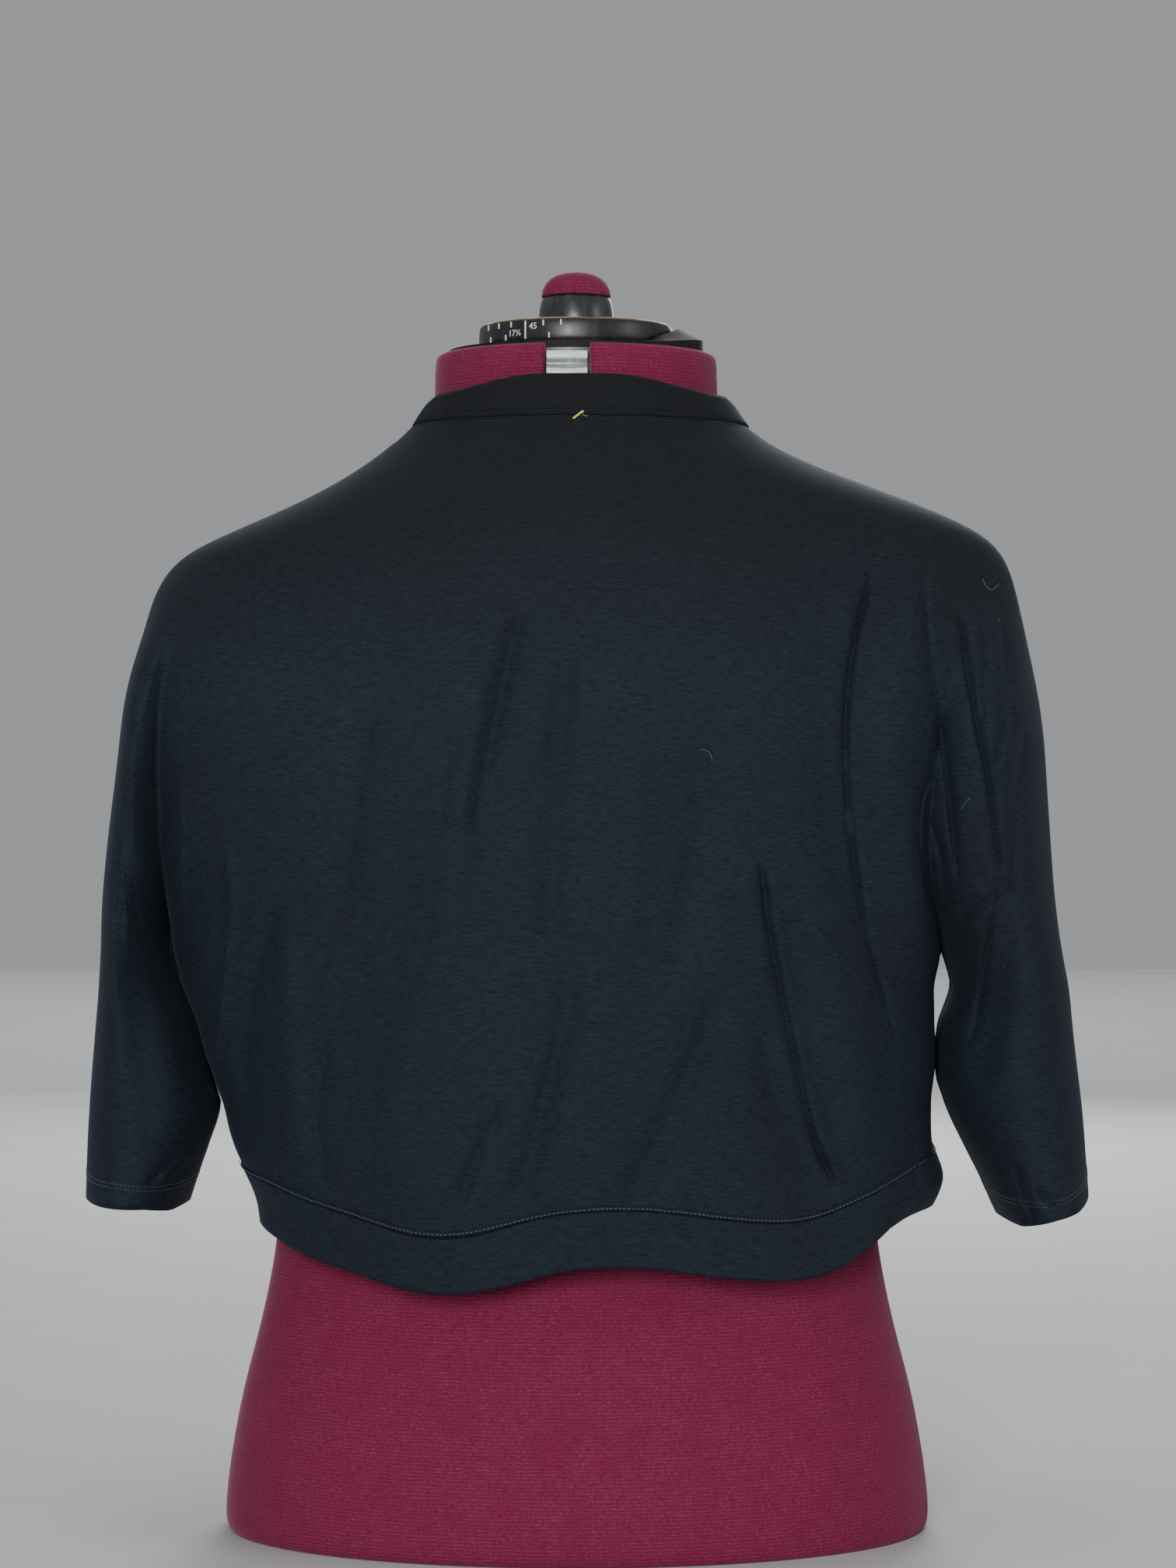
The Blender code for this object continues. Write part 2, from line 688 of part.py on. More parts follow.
def form_table():
    """The form's rows, with the shoulders taken from the cloth that rests on them."""
    shoulders = []
    for ring in RINGS:
        if ring.z >= SHOULDERS:
            half = min(CENTRE_X - ring.left, ring.right - CENTRE_X)
            shoulders.append(Body(ring.z, half, ring.side, ring.back, ring.front))
    return FORM_ROWS + tuple(shoulders)


def closed_rings(rings):
    """A closed body from rings of equal counts, from the lowest up."""
    count = len(rings[0])
    points = np.concatenate(rings)
    faces = []
    for level in range(len(rings) - 1):
        low = level * count
        for i in range(count):
            j = (i + 1) % count
            faces.append([low + i, low + j, low + count + j, low + count + i])
    faces.append(list(range(count))[::-1])
    faces.append(list(range(len(points) - count, len(points))))
    return points, faces


def oval(x, y, wide, deep, z, segments):
    turn = np.linspace(0.0, 2 * np.pi, segments, endpoint=False)
    ring = [x + wide * np.cos(turn), y + deep * np.sin(turn), np.full(segments, z)]
    return np.stack(ring, axis=1)


def form_ring(table, z, inset):
    turn = np.linspace(0.0, 2 * np.pi, FORM_SEGMENTS, endpoint=False)
    half = read(table, "half", z) - inset
    side = read(table, "side", z)
    back = read(table, "back", z) + inset
    front = read(table, "front", z) - inset
    y = np.where(np.sin(turn) < 0, side - back, front - side) * np.sin(turn)
    ring = [CENTRE_X + half * np.cos(turn), side + y, np.full(FORM_SEGMENTS, z)]
    return np.stack(ring, axis=1)


def make_form(cover):
    """The torso: its shoulders lie under the cloth by one wall and a small clearance."""
    table = form_table()
    shares = np.linspace(0.0, 1.0, FORM_LEVELS)
    heights = FORM_TOP * (1 - (1 - shares) ** FORM_CROWDING)
    heights[1] = FORM_EDGE
    rings = [form_ring(table, 0.0, FORM_EDGE)]
    rings += [form_ring(table, z, 0.0) for z in heights[1:]]
    grid = np.array(rings)
    around = np.roll(grid, -1, axis=1) - np.roll(grid, 1, axis=1)
    up = np.gradient(grid, axis=0)
    normals = np.cross(around, up)
    normals /= np.linalg.norm(normals, axis=2)[:, :, None]
    inset = CLOTH_THICKNESS + REST_GAP
    moved = grid - normals * inset
    moved[0, :, 2] = 0.0
    moved[-1] = form_ring(table, FORM_TOP, FORM_TOP_INSET)
    make_object("form_torso", *closed_rings(list(moved)), cover)


def make_collar(cover, bottom):
    """A ring round the neck, open at the back where the neck widens."""
    start = math.asin(GAP_WIDTH / 2 / COLLAR_DEEP)
    middle = -math.pi / 2 + (GAP_X - NECK_X) / COLLAR_WIDE
    turn = np.linspace(middle + start, middle + 2 * math.pi - start, NECK_SEGMENTS + 1)
    profile = (
        (bottom, COLLAR_FLARE, False),
        (bottom + COLLAR_FLARE_HEIGHT, 0.0, False),
        (COLLAR_TOP - COLLAR_ROUND, 0.0, False),
        (COLLAR_TOP - 0.3 * COLLAR_ROUND, -0.3 * COLLAR_ROUND, False),
        (COLLAR_TOP, -COLLAR_ROUND, False),
        (COLLAR_TOP, 0.0, True),
        (bottom, 0.0, True),
    )
    rows = []
    for z, grow, inside in profile:
        wide = COLLAR_WIDE - COLLAR_WALL if inside else COLLAR_WIDE + grow
        deep = COLLAR_DEEP - COLLAR_WALL if inside else COLLAR_DEEP + grow
        x = NECK_X + wide * np.cos(turn)
        y = NECK_Y + deep * np.sin(turn)
        rows.append(np.stack([x, y, np.full(len(turn), z)], axis=1))
    rows = np.array(rows)
    count, length = rows.shape[:2]
    faces = []
    for i in range(count):
        j = (i + 1) % count
        for k in range(length - 1):
            low, high = i * length + k, j * length + k
            faces.append([low, low + 1, high + 1, high])
    faces.append([i * length for i in range(count)])
    faces.append([i * length + length - 1 for i in range(count)][::-1])
    make_object("neck_collar", rows.reshape(-1, 3), faces, cover)


def turned_piece(name, profile, surface, segments=NECK_SEGMENTS):
    """A piece turned about the neck's axis from radius and height pairs."""
    rings = [oval(NECK_X, NECK_Y, r, r, z, segments) for r, z in profile]
    item = make_object(name, *closed_rings(rings), surface)
    item.data.set_sharp_from_angle(angle=SHARP_EDGE)


def make_cap(surface):
    """The plate on the neck, with a lip that stands up beside the dial on the right."""
    turn = np.linspace(0.0, 2 * np.pi, NECK_SEGMENTS, endpoint=False)
    away = np.minimum(turn, 2 * np.pi - turn)
    lip = CAP_LIP * ease(1 - away / CAP_LIP_REACH)
    wide = COLLAR_WIDE - COLLAR_WALL - CAP_CLEAR
    deep = COLLAR_DEEP - COLLAR_WALL - CAP_CLEAR
    low = oval(NECK_X, NECK_Y, wide, deep, CORE_TOP - CAP_THICKNESS, NECK_SEGMENTS)
    edge = oval(NECK_X, NECK_Y, wide, deep, CORE_TOP, NECK_SEGMENTS)
    edge[:, 2] += CAP_LIP_FALL * lip
    top = oval(NECK_X, NECK_Y, CAP_LIP_RADIUS, CAP_LIP_RADIUS, CORE_TOP, NECK_SEGMENTS)
    top[:, 2] += lip
    step = oval(NECK_X, NECK_Y, CAP_STEP, CAP_STEP, CORE_TOP, NECK_SEGMENTS)
    make_object("neck_cap", *closed_rings([low, edge, top, step]), surface, smooth=False)


def make_neck(cover, plastic, white):
    bottom = FORM_TOP + SEAM_GAP
    make_collar(cover, bottom)
    core = COLLAR_WALL + SEAM_GAP
    rings = [
        oval(NECK_X, NECK_Y, COLLAR_WIDE - core, COLLAR_DEEP - core, z, NECK_SEGMENTS)
        for z in (bottom, CORE_TOP - CAP_THICKNESS - SEAM_GAP)
    ]
    make_object("neck_core", *closed_rings(rings), plastic, smooth=False)

    back = NECK_Y - (COLLAR_DEEP - COLLAR_WALL) - SLIDER_CLEAR
    half = SLIDER_WIDTH / 2
    front = back - SLIDER_DEPTH
    shape = (
        (-half, back),
        (-half, front + SLIDER_BOW),
        (0.0, front),
        (half, front + SLIDER_BOW),
        (half, back),
    )
    rings = [
        np.array([(GAP_X + x, y, z) for x, y in shape]) for z in (bottom, SLIDER_TOP)
    ]
    make_object("neck_slider", *closed_rings(rings), white, smooth=False)

    make_cap(plastic)
    low = CORE_TOP + SEAM_GAP
    rim = RIM_ROUND
    dial = [
        (DIAL_RADIUS - rim, low),
        (DIAL_RADIUS, low + rim),
        (DIAL_RADIUS, DIAL_TOP - rim),
        (DIAL_RADIUS - rim, DIAL_TOP),
    ]
    turned_piece("neck_dial", dial, plastic)
    low = DIAL_TOP + SEAM_GAP
    top = low + KNOB_RING_HEIGHT
    upper = KNOB_RADIUS - KNOB_TAPER
    ring = [
        (KNOB_RADIUS - rim, low),
        (KNOB_RADIUS, low + rim),
        (KNOB_RADIUS - KNOB_TAPER / 4, (low + top) / 2),
        (upper, top - rim),
        (upper - rim, top),
    ]
    turned_piece("knob_ring", ring, plastic, KNOB_SEGMENTS)
    low = top + SEAM_GAP
    dome = []
    for step in range(DOME_LEVELS):
        turn = math.pi / 2 * step / DOME_LEVELS
        radius = KNOB_DOME_RADIUS * math.cos(turn) ** KNOB_DOME_BULGE
        dome.append((radius, low + KNOB_DOME_HEIGHT * math.sin(turn)))
    turned_piece("knob_dome", dome, cover, KNOB_SEGMENTS)


def main():
    clear_scene()
    jersey = material("black_jersey", (0.008, 0.011, 0.016), 0.85)
    band_jersey = material("black_jersey_band", (0.007, 0.010, 0.014), 0.85)
    cover = material("burgundy_cover", (0.20, 0.010, 0.050), 0.9)
    plastic = material("black_plastic", (0.010, 0.010, 0.011), 0.35)
    white = material("white_plastic", (0.60, 0.60, 0.58), 0.4)
    make_form(cover)
    make_neck(cover, plastic, white)
    make_shrug(jersey, band_jersey)


main()
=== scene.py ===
"""Looks of a knitted shrug on a limbless dress form.

The jersey and its creases, the sewing, and the form's covers, neck and dial.
"""

import math

import bmesh
import bpy
import numpy as np
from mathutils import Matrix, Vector
from mathutils.bvhtree import BVHTree
from mathutils.kdtree import KDTree


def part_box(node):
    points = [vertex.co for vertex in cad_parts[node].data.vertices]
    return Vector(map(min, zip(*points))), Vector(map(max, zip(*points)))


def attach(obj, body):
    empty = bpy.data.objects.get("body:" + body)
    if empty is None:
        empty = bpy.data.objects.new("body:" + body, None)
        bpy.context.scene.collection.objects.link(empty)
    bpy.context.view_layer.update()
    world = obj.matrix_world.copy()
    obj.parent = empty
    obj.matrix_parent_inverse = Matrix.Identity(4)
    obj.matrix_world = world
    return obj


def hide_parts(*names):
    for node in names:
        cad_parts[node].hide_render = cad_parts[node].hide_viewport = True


bl_info = {
    "name": "Knitted shrug",
    "version": (1, 0, 0),
    "blender": (4, 2, 0),
    "location": "View3D > Sidebar > Shrug",
    "description": "Builds the looks of a knitted shrug worn by a dress form",
    "category": "Object",
}

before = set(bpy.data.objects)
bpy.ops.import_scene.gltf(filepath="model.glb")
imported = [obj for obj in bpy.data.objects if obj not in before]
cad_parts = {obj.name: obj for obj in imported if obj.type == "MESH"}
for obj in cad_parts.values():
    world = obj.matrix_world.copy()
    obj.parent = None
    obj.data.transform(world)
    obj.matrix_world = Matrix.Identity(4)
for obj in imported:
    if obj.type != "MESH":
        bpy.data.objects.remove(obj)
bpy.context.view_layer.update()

# The camera stands level behind the wearer, this far from the form's middle
CAMERA_REACH = 2.0
CAMERA_PLACE = (0.0032, -CAMERA_REACH, 0.381)
CAMERA_LENS = 89.3
SENSOR = 36.0

# Creases of the back as the camera sees them: each point is millimetres across and millimetres up on
# the upright plane through the middle of the form. depth is a trough's and a negative one a ridge's,
# width is half of it across, lift is the fullness of the cloth on both sides of it, and lip is the roll
# of cloth beside it, to the right where it is positive and to the left where it is negative. sharp is 1
# for a round trough and nearer 0 for a pinched one.
CREASE_COLUMNS = ("depth", "width", "lift", "lip", "sharp", "points")
BACK_CREASES = (
    (7.0, 1.9, 2.6, 0.4, 0.5, ((149.6, 499.6), (148, 484.8), (140.8, 457.6), (136, 422.4), (135.6, 390.4),
     (137.6, 360), (144.8, 307.2), (154, 270.4), (164.8, 246.4))),
    (6.2, 1.8, 2.2, 0.4, 0.5, ((175, 493), (176.8, 457.6), (183.2, 419.2), (188, 384), (191.2, 352),
     (193.6, 324))),
    (6.4, 2.1, 2.2, 0.6, 0.5, ((193.6, 475.4), (196.8, 448), (202.4, 416), (208.8, 384), (212.8, 352),
     (217.6, 326))),
    (3.6, 2.0, 1.2, 0.3, 0.6, ((205.6, 467.2), (207.2, 444.8), (205.6, 412))),
    (4.4, 2.0, 1.4, 0.4, 0.55, ((216, 468), (218.4, 440), (217.6, 416), (210.8, 384.4))),
    (4.6, 3.0, 1.2, 0.8, 0.7, ((228.4, 412), (225, 380.8), (222.4, 344), (221, 318))),
    (5.4, 2.0, 1.2, -0.8, 0.5, ((215, 330), (212.2, 312.2), (206.9, 285.4), (204.2, 269.3),
     (203.7, 257.6), (201.2, 250.7), (197.5, 246.8))),
    (4.6, 8.0, 0.6, 0.0, 1.0, ((219, 336), (216.5, 301.5), (213.3, 269.3), (210.1, 247.9), (201.5, 221.1))),
    (5.4, 2.2, 1.6, 1.6, 0.5, ((212, 324), (206, 319), (199, 315), (192, 306))),
    (6.4, 2.0, 1.4, -1.0, 0.5, ((182.8, 385.4), (177, 379), (174.2, 366), (173.8, 350), (176.6, 334),
     (179.6, 310))),
    (4.0, 2.2, 1.0, 0.5, 0.6, ((178, 366), (184, 345), (187, 322))),
    (7.4, 2.0, 2.8, 1.0, 0.5, ((90, 348), (92, 339.6), (95.6, 310.4), (98.4, 294.4), (103.6, 266.8),
     (112.4, 226), (118.8, 200), (127.6, 179.2), (132.6, 168.4))),
    (3.4, 9.0, 0.8, 1.6, 1.0, ((104, 320), (112, 280), (122, 230), (132, 190))),
    (4.6, 4.5, 1.4, -2.0, 0.8, ((-29.6, 474.4), (-37.2, 448.4), (-44.4, 414), (-49.6, 389.2), (-55, 352))),
    (-4.6, 12.0, 0.0, 0.0, 1.0, ((-50.2, 420.8), (-64, 354), (-69.6, 299.6), (-89.6, 245.2),
     (-104.4, 162.8))),
    (3.6, 7.0, 0.8, 0.0, 1.0, ((-8, 452.4), (-11.6, 404.8), (-15.2, 354), (-16.8, 290))),
    (3.0, 8.0, 0.8, 0.0, 1.0, ((60.8, 400.4), (60.8, 361.6), (46.4, 278.8))),
    (3.8, 6.0, 1.0, 1.4, 0.9, ((-4, 282), (-18, 222), (-34, 162))),
    (3.8, 7.0, 1.0, 1.4, 0.9, ((72, 275), (50, 220), (22, 160))),
    (-3.0, 2.4, 0.0, 0.0, 0.7, ((-183, 352), (-181, 330), (-179.5, 318), (-182, 296), (-184, 266),
     (-184.4, 230))),
    (-2.2, 2.0, 0.0, 0.0, 0.7, ((-206.5, 384), (-206, 350), (-205.8, 326), (-203.5, 304))),
    (4.2, 4.2, 0.8, 0.0, 0.9, ((-156, 322), (-171.2, 267.2), (-170, 215))),
    (-3.6, 7.0, 0.0, 0.0, 1.0, ((-151.2, 308), (-151, 245), (-146, 180))),
    (3.6, 8.5, 0.6, 0.0, 1.0, ((-232, 372), (-234, 320), (-227.2, 245.2), (-222, 190))),
    (-2.8, 8.0, 0.0, 0.0, 1.0, ((-219, 350), (-216, 300), (-208, 255), (-202, 215))),
    (-2.4, 7.0, 0.0, 0.0, 1.0, ((-240, 340), (-241, 280), (-243, 215))),
    (2.8, 2.0, 0.8, 0.5, 0.6, ((171, 200), (170.6, 184), (171, 168))),
    (2.8, 3.4, 0.8, 0.5, 0.8, ((-38, 218), (-54, 190), (-64, 160))),
    (2.8, 4.5, 0.8, 0.5, 0.9, ((92, 255), (100, 218), (120, 180))),
    (3.4, 2.2, 0.8, 0.8, 0.6, ((-224, 175), (-216.5, 181.5), (-209, 187.5))),
    (3.2, 2.2, 0.8, 0.8, 0.6, ((-214, 175), (-207, 180.5), (-199, 187))),
    (3.4, 2.2, 0.8, 0.8, 0.6, ((222, 186), (227, 172), (233, 159))),
    (3.2, 2.2, 0.8, 0.8, 0.6, ((233, 175), (239.5, 167.5), (247.5, 160))),
    (2.8, 4.0, 0.8, 0.5, 0.8, ((-130, 250), (-136, 215), (-132, 172))),
    (2.8, 6.0, 0.8, 0.0, 1.0, ((-110, 420), (-118, 370), (-124, 310))),
    (-2.8, 9.0, 0.0, 0.0, 1.0, ((28, 410), (26, 350), (16, 270))),
)
# The same across the fronts, where across is counted outwards on both sides
FRONT_CREASES = (
    (6.4, 2.0, 2.2, 0.8, 0.5, ((132, 490), (134, 440), (139, 380), (148, 310), (160, 250), (166, 222))),
    (5.0, 2.0, 1.8, 0.6, 0.55, ((166, 484), (172, 430), (182, 380), (188, 332))),
    (4.0, 2.2, 1.2, 0.5, 0.6, ((196, 470), (204, 420), (210, 376))),
    (3.0, 5.0, 0.6, 0.8, 0.9, ((104, 444), (112, 380), (122, 320), (136, 264))),
    (3.0, 4.0, 0.6, 0.6, 0.8, ((228, 334), (220, 270), (216, 196))),
    (1.8, 2.6, 0.4, 0.5, 0.7, ((214, 198), (222, 184), (236, 174))),
    (-2.2, 7.0, 0.0, 0.0, 1.0, ((150, 420), (158, 350), (166, 290))),
)
# In widths of the crease: how far the fullness beside it reaches, where its lip stands and how wide that is,
# how wide it is within the wall's lining, and how far away nothing of it is left
LIFT_REACH = 6.0
LIP_PLACE = 2.4
LIP_WIDTH = 1.6
LINING_WIDTH = 1.9
CREASE_REACH = 14
# The share of a crease's length over which each end dies away
CREASE_ENDS = 0.12
# The creases die away over this distance from the side seams
BACK_FADE = 0.020
# Faces over which a crease moves further than this are cut in four, once for each step
FINE_STEPS = (0.00050, 0.00100)
# Where the back's faces end and the fronts' start, for telling the outside from the lining
FACING_SPLIT = 0.005
# How far forward the side seams stand, at heights
SEAM_HEIGHTS = (0.497, 0.510, 0.525, 0.540, 0.555, 0.565)
SEAM_PLACES = (0.001, 0.003, 0.005, 0.008, 0.011, 0.014)
# The body's half width, and the distance over which the moves of the hem fade there
BODY_EDGE = (0.192, 0.008)
# The neck band's greatest height at its sides, in metres across and up, from this height up, and how far
# of the way down to it the band's edge goes
NECK_ROLL_START = 0.556
NECK_ROLL_SHARE = 0.9
NECK_ROLL = (
    (0.0700, 0.5900), (0.0716, 0.5816), (0.0800, 0.5757), (0.0842, 0.5697), (0.0872, 0.5642), (0.0950, 0.5560),
)
# How far the hem's corners are drawn in: side, draw, start and end of the height and of the distance across
HEM_CORNERS = ((-1, 0.0095, 0.205, 0.165, 0.128, 0.172), (1, 0.0040, 0.172, 0.150, 0.140, 0.176))
# The hem's right end flares by this much at this height, over this much of it, from here over this distance
HEM_FLARE = (0.0050, 0.1810, 0.0110, 0.158, 0.020)
# The seam above the hem's right end: a place across, its height, its slope, and the reach of the rise
HEM_SEAM = (0.1528, 0.1714, 0.75, 0.030)
# How far the hem's lower edge rises towards its right end, in metres across and up
HEM_RISE = (
    (0.1180, 0.0), (0.1308, 0.0044), (0.1400, 0.0086), (0.1528, 0.0112), (0.1608, 0.0085), (0.1726, 0.0035),
    (0.1820, 0.0),
)
# How far the sleeve and the body lean over the gap between them: height, both places, both leans
LEFT_GAP = (
    (0.2000, -0.1888, -0.1812, 0.0, 0.0),
    (0.2173, -0.1882, -0.1824, 0.0026, -0.0018),
    (0.2275, -0.1891, -0.1842, 0.0006, -0.0041),
    (0.2428, -0.1931, -0.1870, 0.0009, -0.0051),
    (0.2619, -0.2007, -0.1937, 0.0036, -0.0032),
    (0.2810, -0.2081, -0.2018, 0.0023, -0.0038),
    (0.2932, -0.2102, -0.2074, 0.0010, -0.0016),
    (0.3050, -0.2109, -0.2109, 0.0, 0.0),
)
RIGHT_GAP = (
    (0.2000, 0.1890, 0.1797, 0.0, 0.0),
    (0.2216, 0.1863, 0.1800, -0.0010, -0.0004),
    (0.2302, 0.1846, 0.1801, -0.0024, 0.0006),
    (0.2376, 0.1842, 0.1802, -0.0024, 0.0015),
    (0.2483, 0.1849, 0.1804, -0.0030, 0.0014),
    (0.2590, 0.1862, 0.1810, -0.0028, 0.0002),
    (0.2772, 0.1883, 0.1824, 0.0014, -0.0014),
    (0.2943, 0.1846, 0.1840, 0.0, 0.0),
)
# How far in from its edge the body and the sleeve take part in that
BODY_REACH = 0.034
SLEEVE_REACH = 0.022
# How far the cuffs' edges hang lower or higher, in metres across and up
CUFF_HANG = (
    (-0.2560, 0.0020), (-0.2400, 0.0), (-0.2180, -0.0012), (-0.2070, -0.0042), (-0.1970, -0.0020),
    (-0.1900, 0.0), (0.2020, 0.0), (0.2110, -0.0030), (0.2208, -0.0048), (0.2358, 0.0),
    (0.2480, 0.0030), (0.2570, 0.0080), (0.2620, 0.0090),
)
# The heights between which that grows, and where the sleeves start and over which distance
CUFF_REACH = (0.195, 0.165)
SLEEVE_EDGE = (0.190, 0.006)
# The cloth's least distance from the form, and how near it has to be for that to be looked at
FORM_CLEARANCE = 0.0004
FORM_NEAR = 0.012
# Points of a panel that lie this near a band are its seam
SEAM_REACH = 0.0016
# Points along the hem's seam and along the arch of the neck and fronts, and the height the arch turns round
HEM_BINS = 90
ARCH_BINS = 220
ARCH_CENTRE = 0.30
# The middles of the cuffs across, and the space between their two rows of stitches
CUFF_CENTRES = (-0.226, 0.2255)
CUFF_ROW_SPACE = 0.0022
# Steps round a cuff, the height below which its edge is looked for, and the angle that counts for a step
CUFF_TURNS = 121
CUFF_TOP = 0.22
CUFF_WEDGE = 0.20
# How deep a stitch sinks into the cloth, as a share of the thread's thickness
STITCH_SINK = 0.15


def length_property(name, description, default):
    return bpy.props.FloatProperty(name=name, description=description, default=default, unit="LENGTH")


def colour_property(name, description, default):
    return bpy.props.FloatVectorProperty(
        name=name, description=description, default=default, subtype="COLOR")


class ShrugSizes(bpy.types.PropertyGroup):
    crease_scale: bpy.props.FloatProperty(
        name="Creases", description="Depth of the creases, 1 as built", default=1.0, min=0.0, max=2.0)
    stitch_length: length_property("Stitch length", "Length of a topstitch", 0.0014)
    stitch_pitch: length_property("Stitch pitch", "Distance from one topstitch to the next", 0.0021)
    stitch_width: length_property("Stitch width", "Thickness of the sewing thread", 0.0005)
    hem_ridge: length_property("Hem ridge", "Radius of the ridge along the hem band's seam", 0.00115)
    neck_ridge: length_property("Neck ridge", "Radius of the ridge along the neck and fronts", 0.00075)
    fold_ridge: length_property("Band line", "Radius of the fine line within the band", 0.0004)
    fold_inset: length_property("Band line's place", "Distance from the seam to the fine line", 0.0062)
    cuff_hem: length_property("Cuff hem", "Depth of the turned hem of each sleeve", 0.0112)
    thread_end: length_property("Thread end", "Thickness of the yellow thread end at the nape", 0.0011)
    tick_height: length_property("Tick height", "Height of a short tick on the dial", 0.0028)


class ShrugColours(bpy.types.PropertyGroup):
    jersey_dark: colour_property("Jersey", "Darker yarn of the jersey", (0.0062, 0.0095, 0.0148))
    jersey_light: colour_property("Jersey, light", "Lighter yarn of the jersey", (0.0148, 0.0230, 0.0342))
    thread: colour_property("Sewing thread", "Thread of the hem's topstitching", (0.034, 0.048, 0.066))
    cover_dark: colour_property("Cover", "Darker yarn of the form's cover", (0.105, 0.0070, 0.0270))
    cover_light: colour_property("Cover, light", "Lighter yarn of the cover", (0.270, 0.0270, 0.0850))
    plastic: colour_property("Plastic", "Black plastic of the dial", (0.010, 0.010, 0.011))
    slider: colour_property("Slider", "Milky plastic of the neck's slider", (0.66, 0.68, 0.64))
    yellow: colour_property("Thread end", "Yellow thread left at the nape", (0.62, 0.52, 0.03))


def sizes():
    return bpy.context.scene.shrug_sizes


def colours():
    return bpy.context.scene.shrug_colours


# Materials


class Nodes:
    """A new procedural material and short ways to add its nodes."""

    def __init__(self, name):
        self.material = bpy.data.materials.new(name)
        self.material.use_nodes = True
        self.nodes = self.material.node_tree.nodes
        self.links = self.material.node_tree.links
        self.shader = next(n for n in self.nodes if n.type == "BSDF_PRINCIPLED")
        self.place = self.add("ShaderNodeTexCoord").outputs["Object"]

    def add(self, kind, **settings):
        node = self.nodes.new(kind)
        for name, value in settings.items():
            setattr(node, name, value)
        return node

    def link(self, output, node_input):
        self.links.new(output, node_input)

    def noise(self, scale, detail, roughness):
        """Noise whose cells are 1/scale metres along X, Y and Z."""
        mapping = self.add("ShaderNodeMapping")
        mapping.inputs["Scale"].default_value = scale
        self.link(self.place, mapping.inputs["Vector"])
        node = self.add("ShaderNodeTexNoise")
        node.inputs["Scale"].default_value = 1.0
        node.inputs["Detail"].default_value = detail
        node.inputs["Roughness"].default_value = roughness
        self.link(mapping.outputs["Vector"], node.inputs["Vector"])
        return node.outputs["Fac"]

    def wave(self, direction, scale, distortion, detail_scale):
        node = self.add("ShaderNodeTexWave", bands_direction=direction)
        node.inputs["Scale"].default_value = scale
        node.inputs["Distortion"].default_value = distortion
        node.inputs["Detail"].default_value = 2.0
        node.inputs["Detail Scale"].default_value = detail_scale
        self.link(self.place, node.inputs["Vector"])
        return node.outputs["Fac"]

    def share(self, value, low, high):
        """0 where value is below low and 1 above high."""
        node = self.add("ShaderNodeMapRange")
        node.inputs["From Min"].default_value = low
        node.inputs["From Max"].default_value = high
        self.link(value, node.inputs["Value"])
        return node.outputs["Result"]

    def height(self, low, high):
        """0 below the height low and 1 above high, in metres."""
        parts = self.add("ShaderNodeSeparateXYZ")
        self.link(self.place, parts.inputs[0])
        return self.share(parts.outputs["Z"], low, high)

    def away(self, centre, low, high):
        """0 nearer the upright line through centre than low and 1 beyond high."""
        mapping = self.add("ShaderNodeMapping")
        mapping.inputs["Location"].default_value = (-centre[0], -centre[1], 0)
        mapping.inputs["Scale"].default_value = (1, 1, 0)
        self.link(self.place, mapping.inputs["Vector"])
        distance = self.add("ShaderNodeVectorMath", operation="LENGTH")
        self.link(mapping.outputs["Vector"], distance.inputs[0])
        return self.share(distance.outputs["Value"], low, high)

    def ramp(self, value, low, high):
        """Black where value is below low and white above high."""
        node = self.add("ShaderNodeValToRGB")
        node.color_ramp.elements[0].position = low
        node.color_ramp.elements[1].position = high
        self.link(value, node.inputs["Fac"])
        return node.outputs["Color"]

    def mix(self, value, a, b, amount=None):
        """Colour a where value is 0 and b where it is 1, or only amount of the way to b."""
        node = self.add("ShaderNodeMix", data_type="RGBA")
        for colour, number in ((a, 6), (b, 7)):
            if isinstance(colour, bpy.types.NodeSocket):
                self.link(colour, node.inputs[number])
            else:
                node.inputs[number].default_value = (*colour, 1)
        if amount is not None:
            value = self.math("MULTIPLY", value, amount)
        self.link(value, node.inputs[0])
        return node.outputs[2]

    def math(self, operation, a, b):
        node = self.add("ShaderNodeMath", operation=operation)
        for value, number in ((a, 0), (b, 1)):
            if isinstance(value, bpy.types.NodeSocket):
                self.link(value, node.inputs[number])
            else:
                node.inputs[number].default_value = value
        return node.outputs[0]

    def bump(self, heights):
        """Chained bumps from (height, strength, distance) rows."""
        normal = None
        for height, strength, distance in heights:
            node = self.add("ShaderNodeBump")
            node.inputs["Strength"].default_value = strength
            node.inputs["Distance"].default_value = distance
            self.link(height, node.inputs["Height"])
            if normal is not None:
                self.link(normal, node.inputs["Normal"])
            normal = node.outputs["Normal"]
        self.link(normal, self.shader.inputs["Normal"])

    def rough(self, value, low, high):
        node = self.add("ShaderNodeMapRange")
        node.inputs["To Min"].default_value = low
        node.inputs["To Max"].default_value = high
        self.link(value, node.inputs["Value"])
        self.link(node.outputs["Result"], self.shader.inputs["Roughness"])

    def set(self, **values):
        for name, value in values.items():
            self.shader.inputs[name.replace("_", " ")].default_value = value


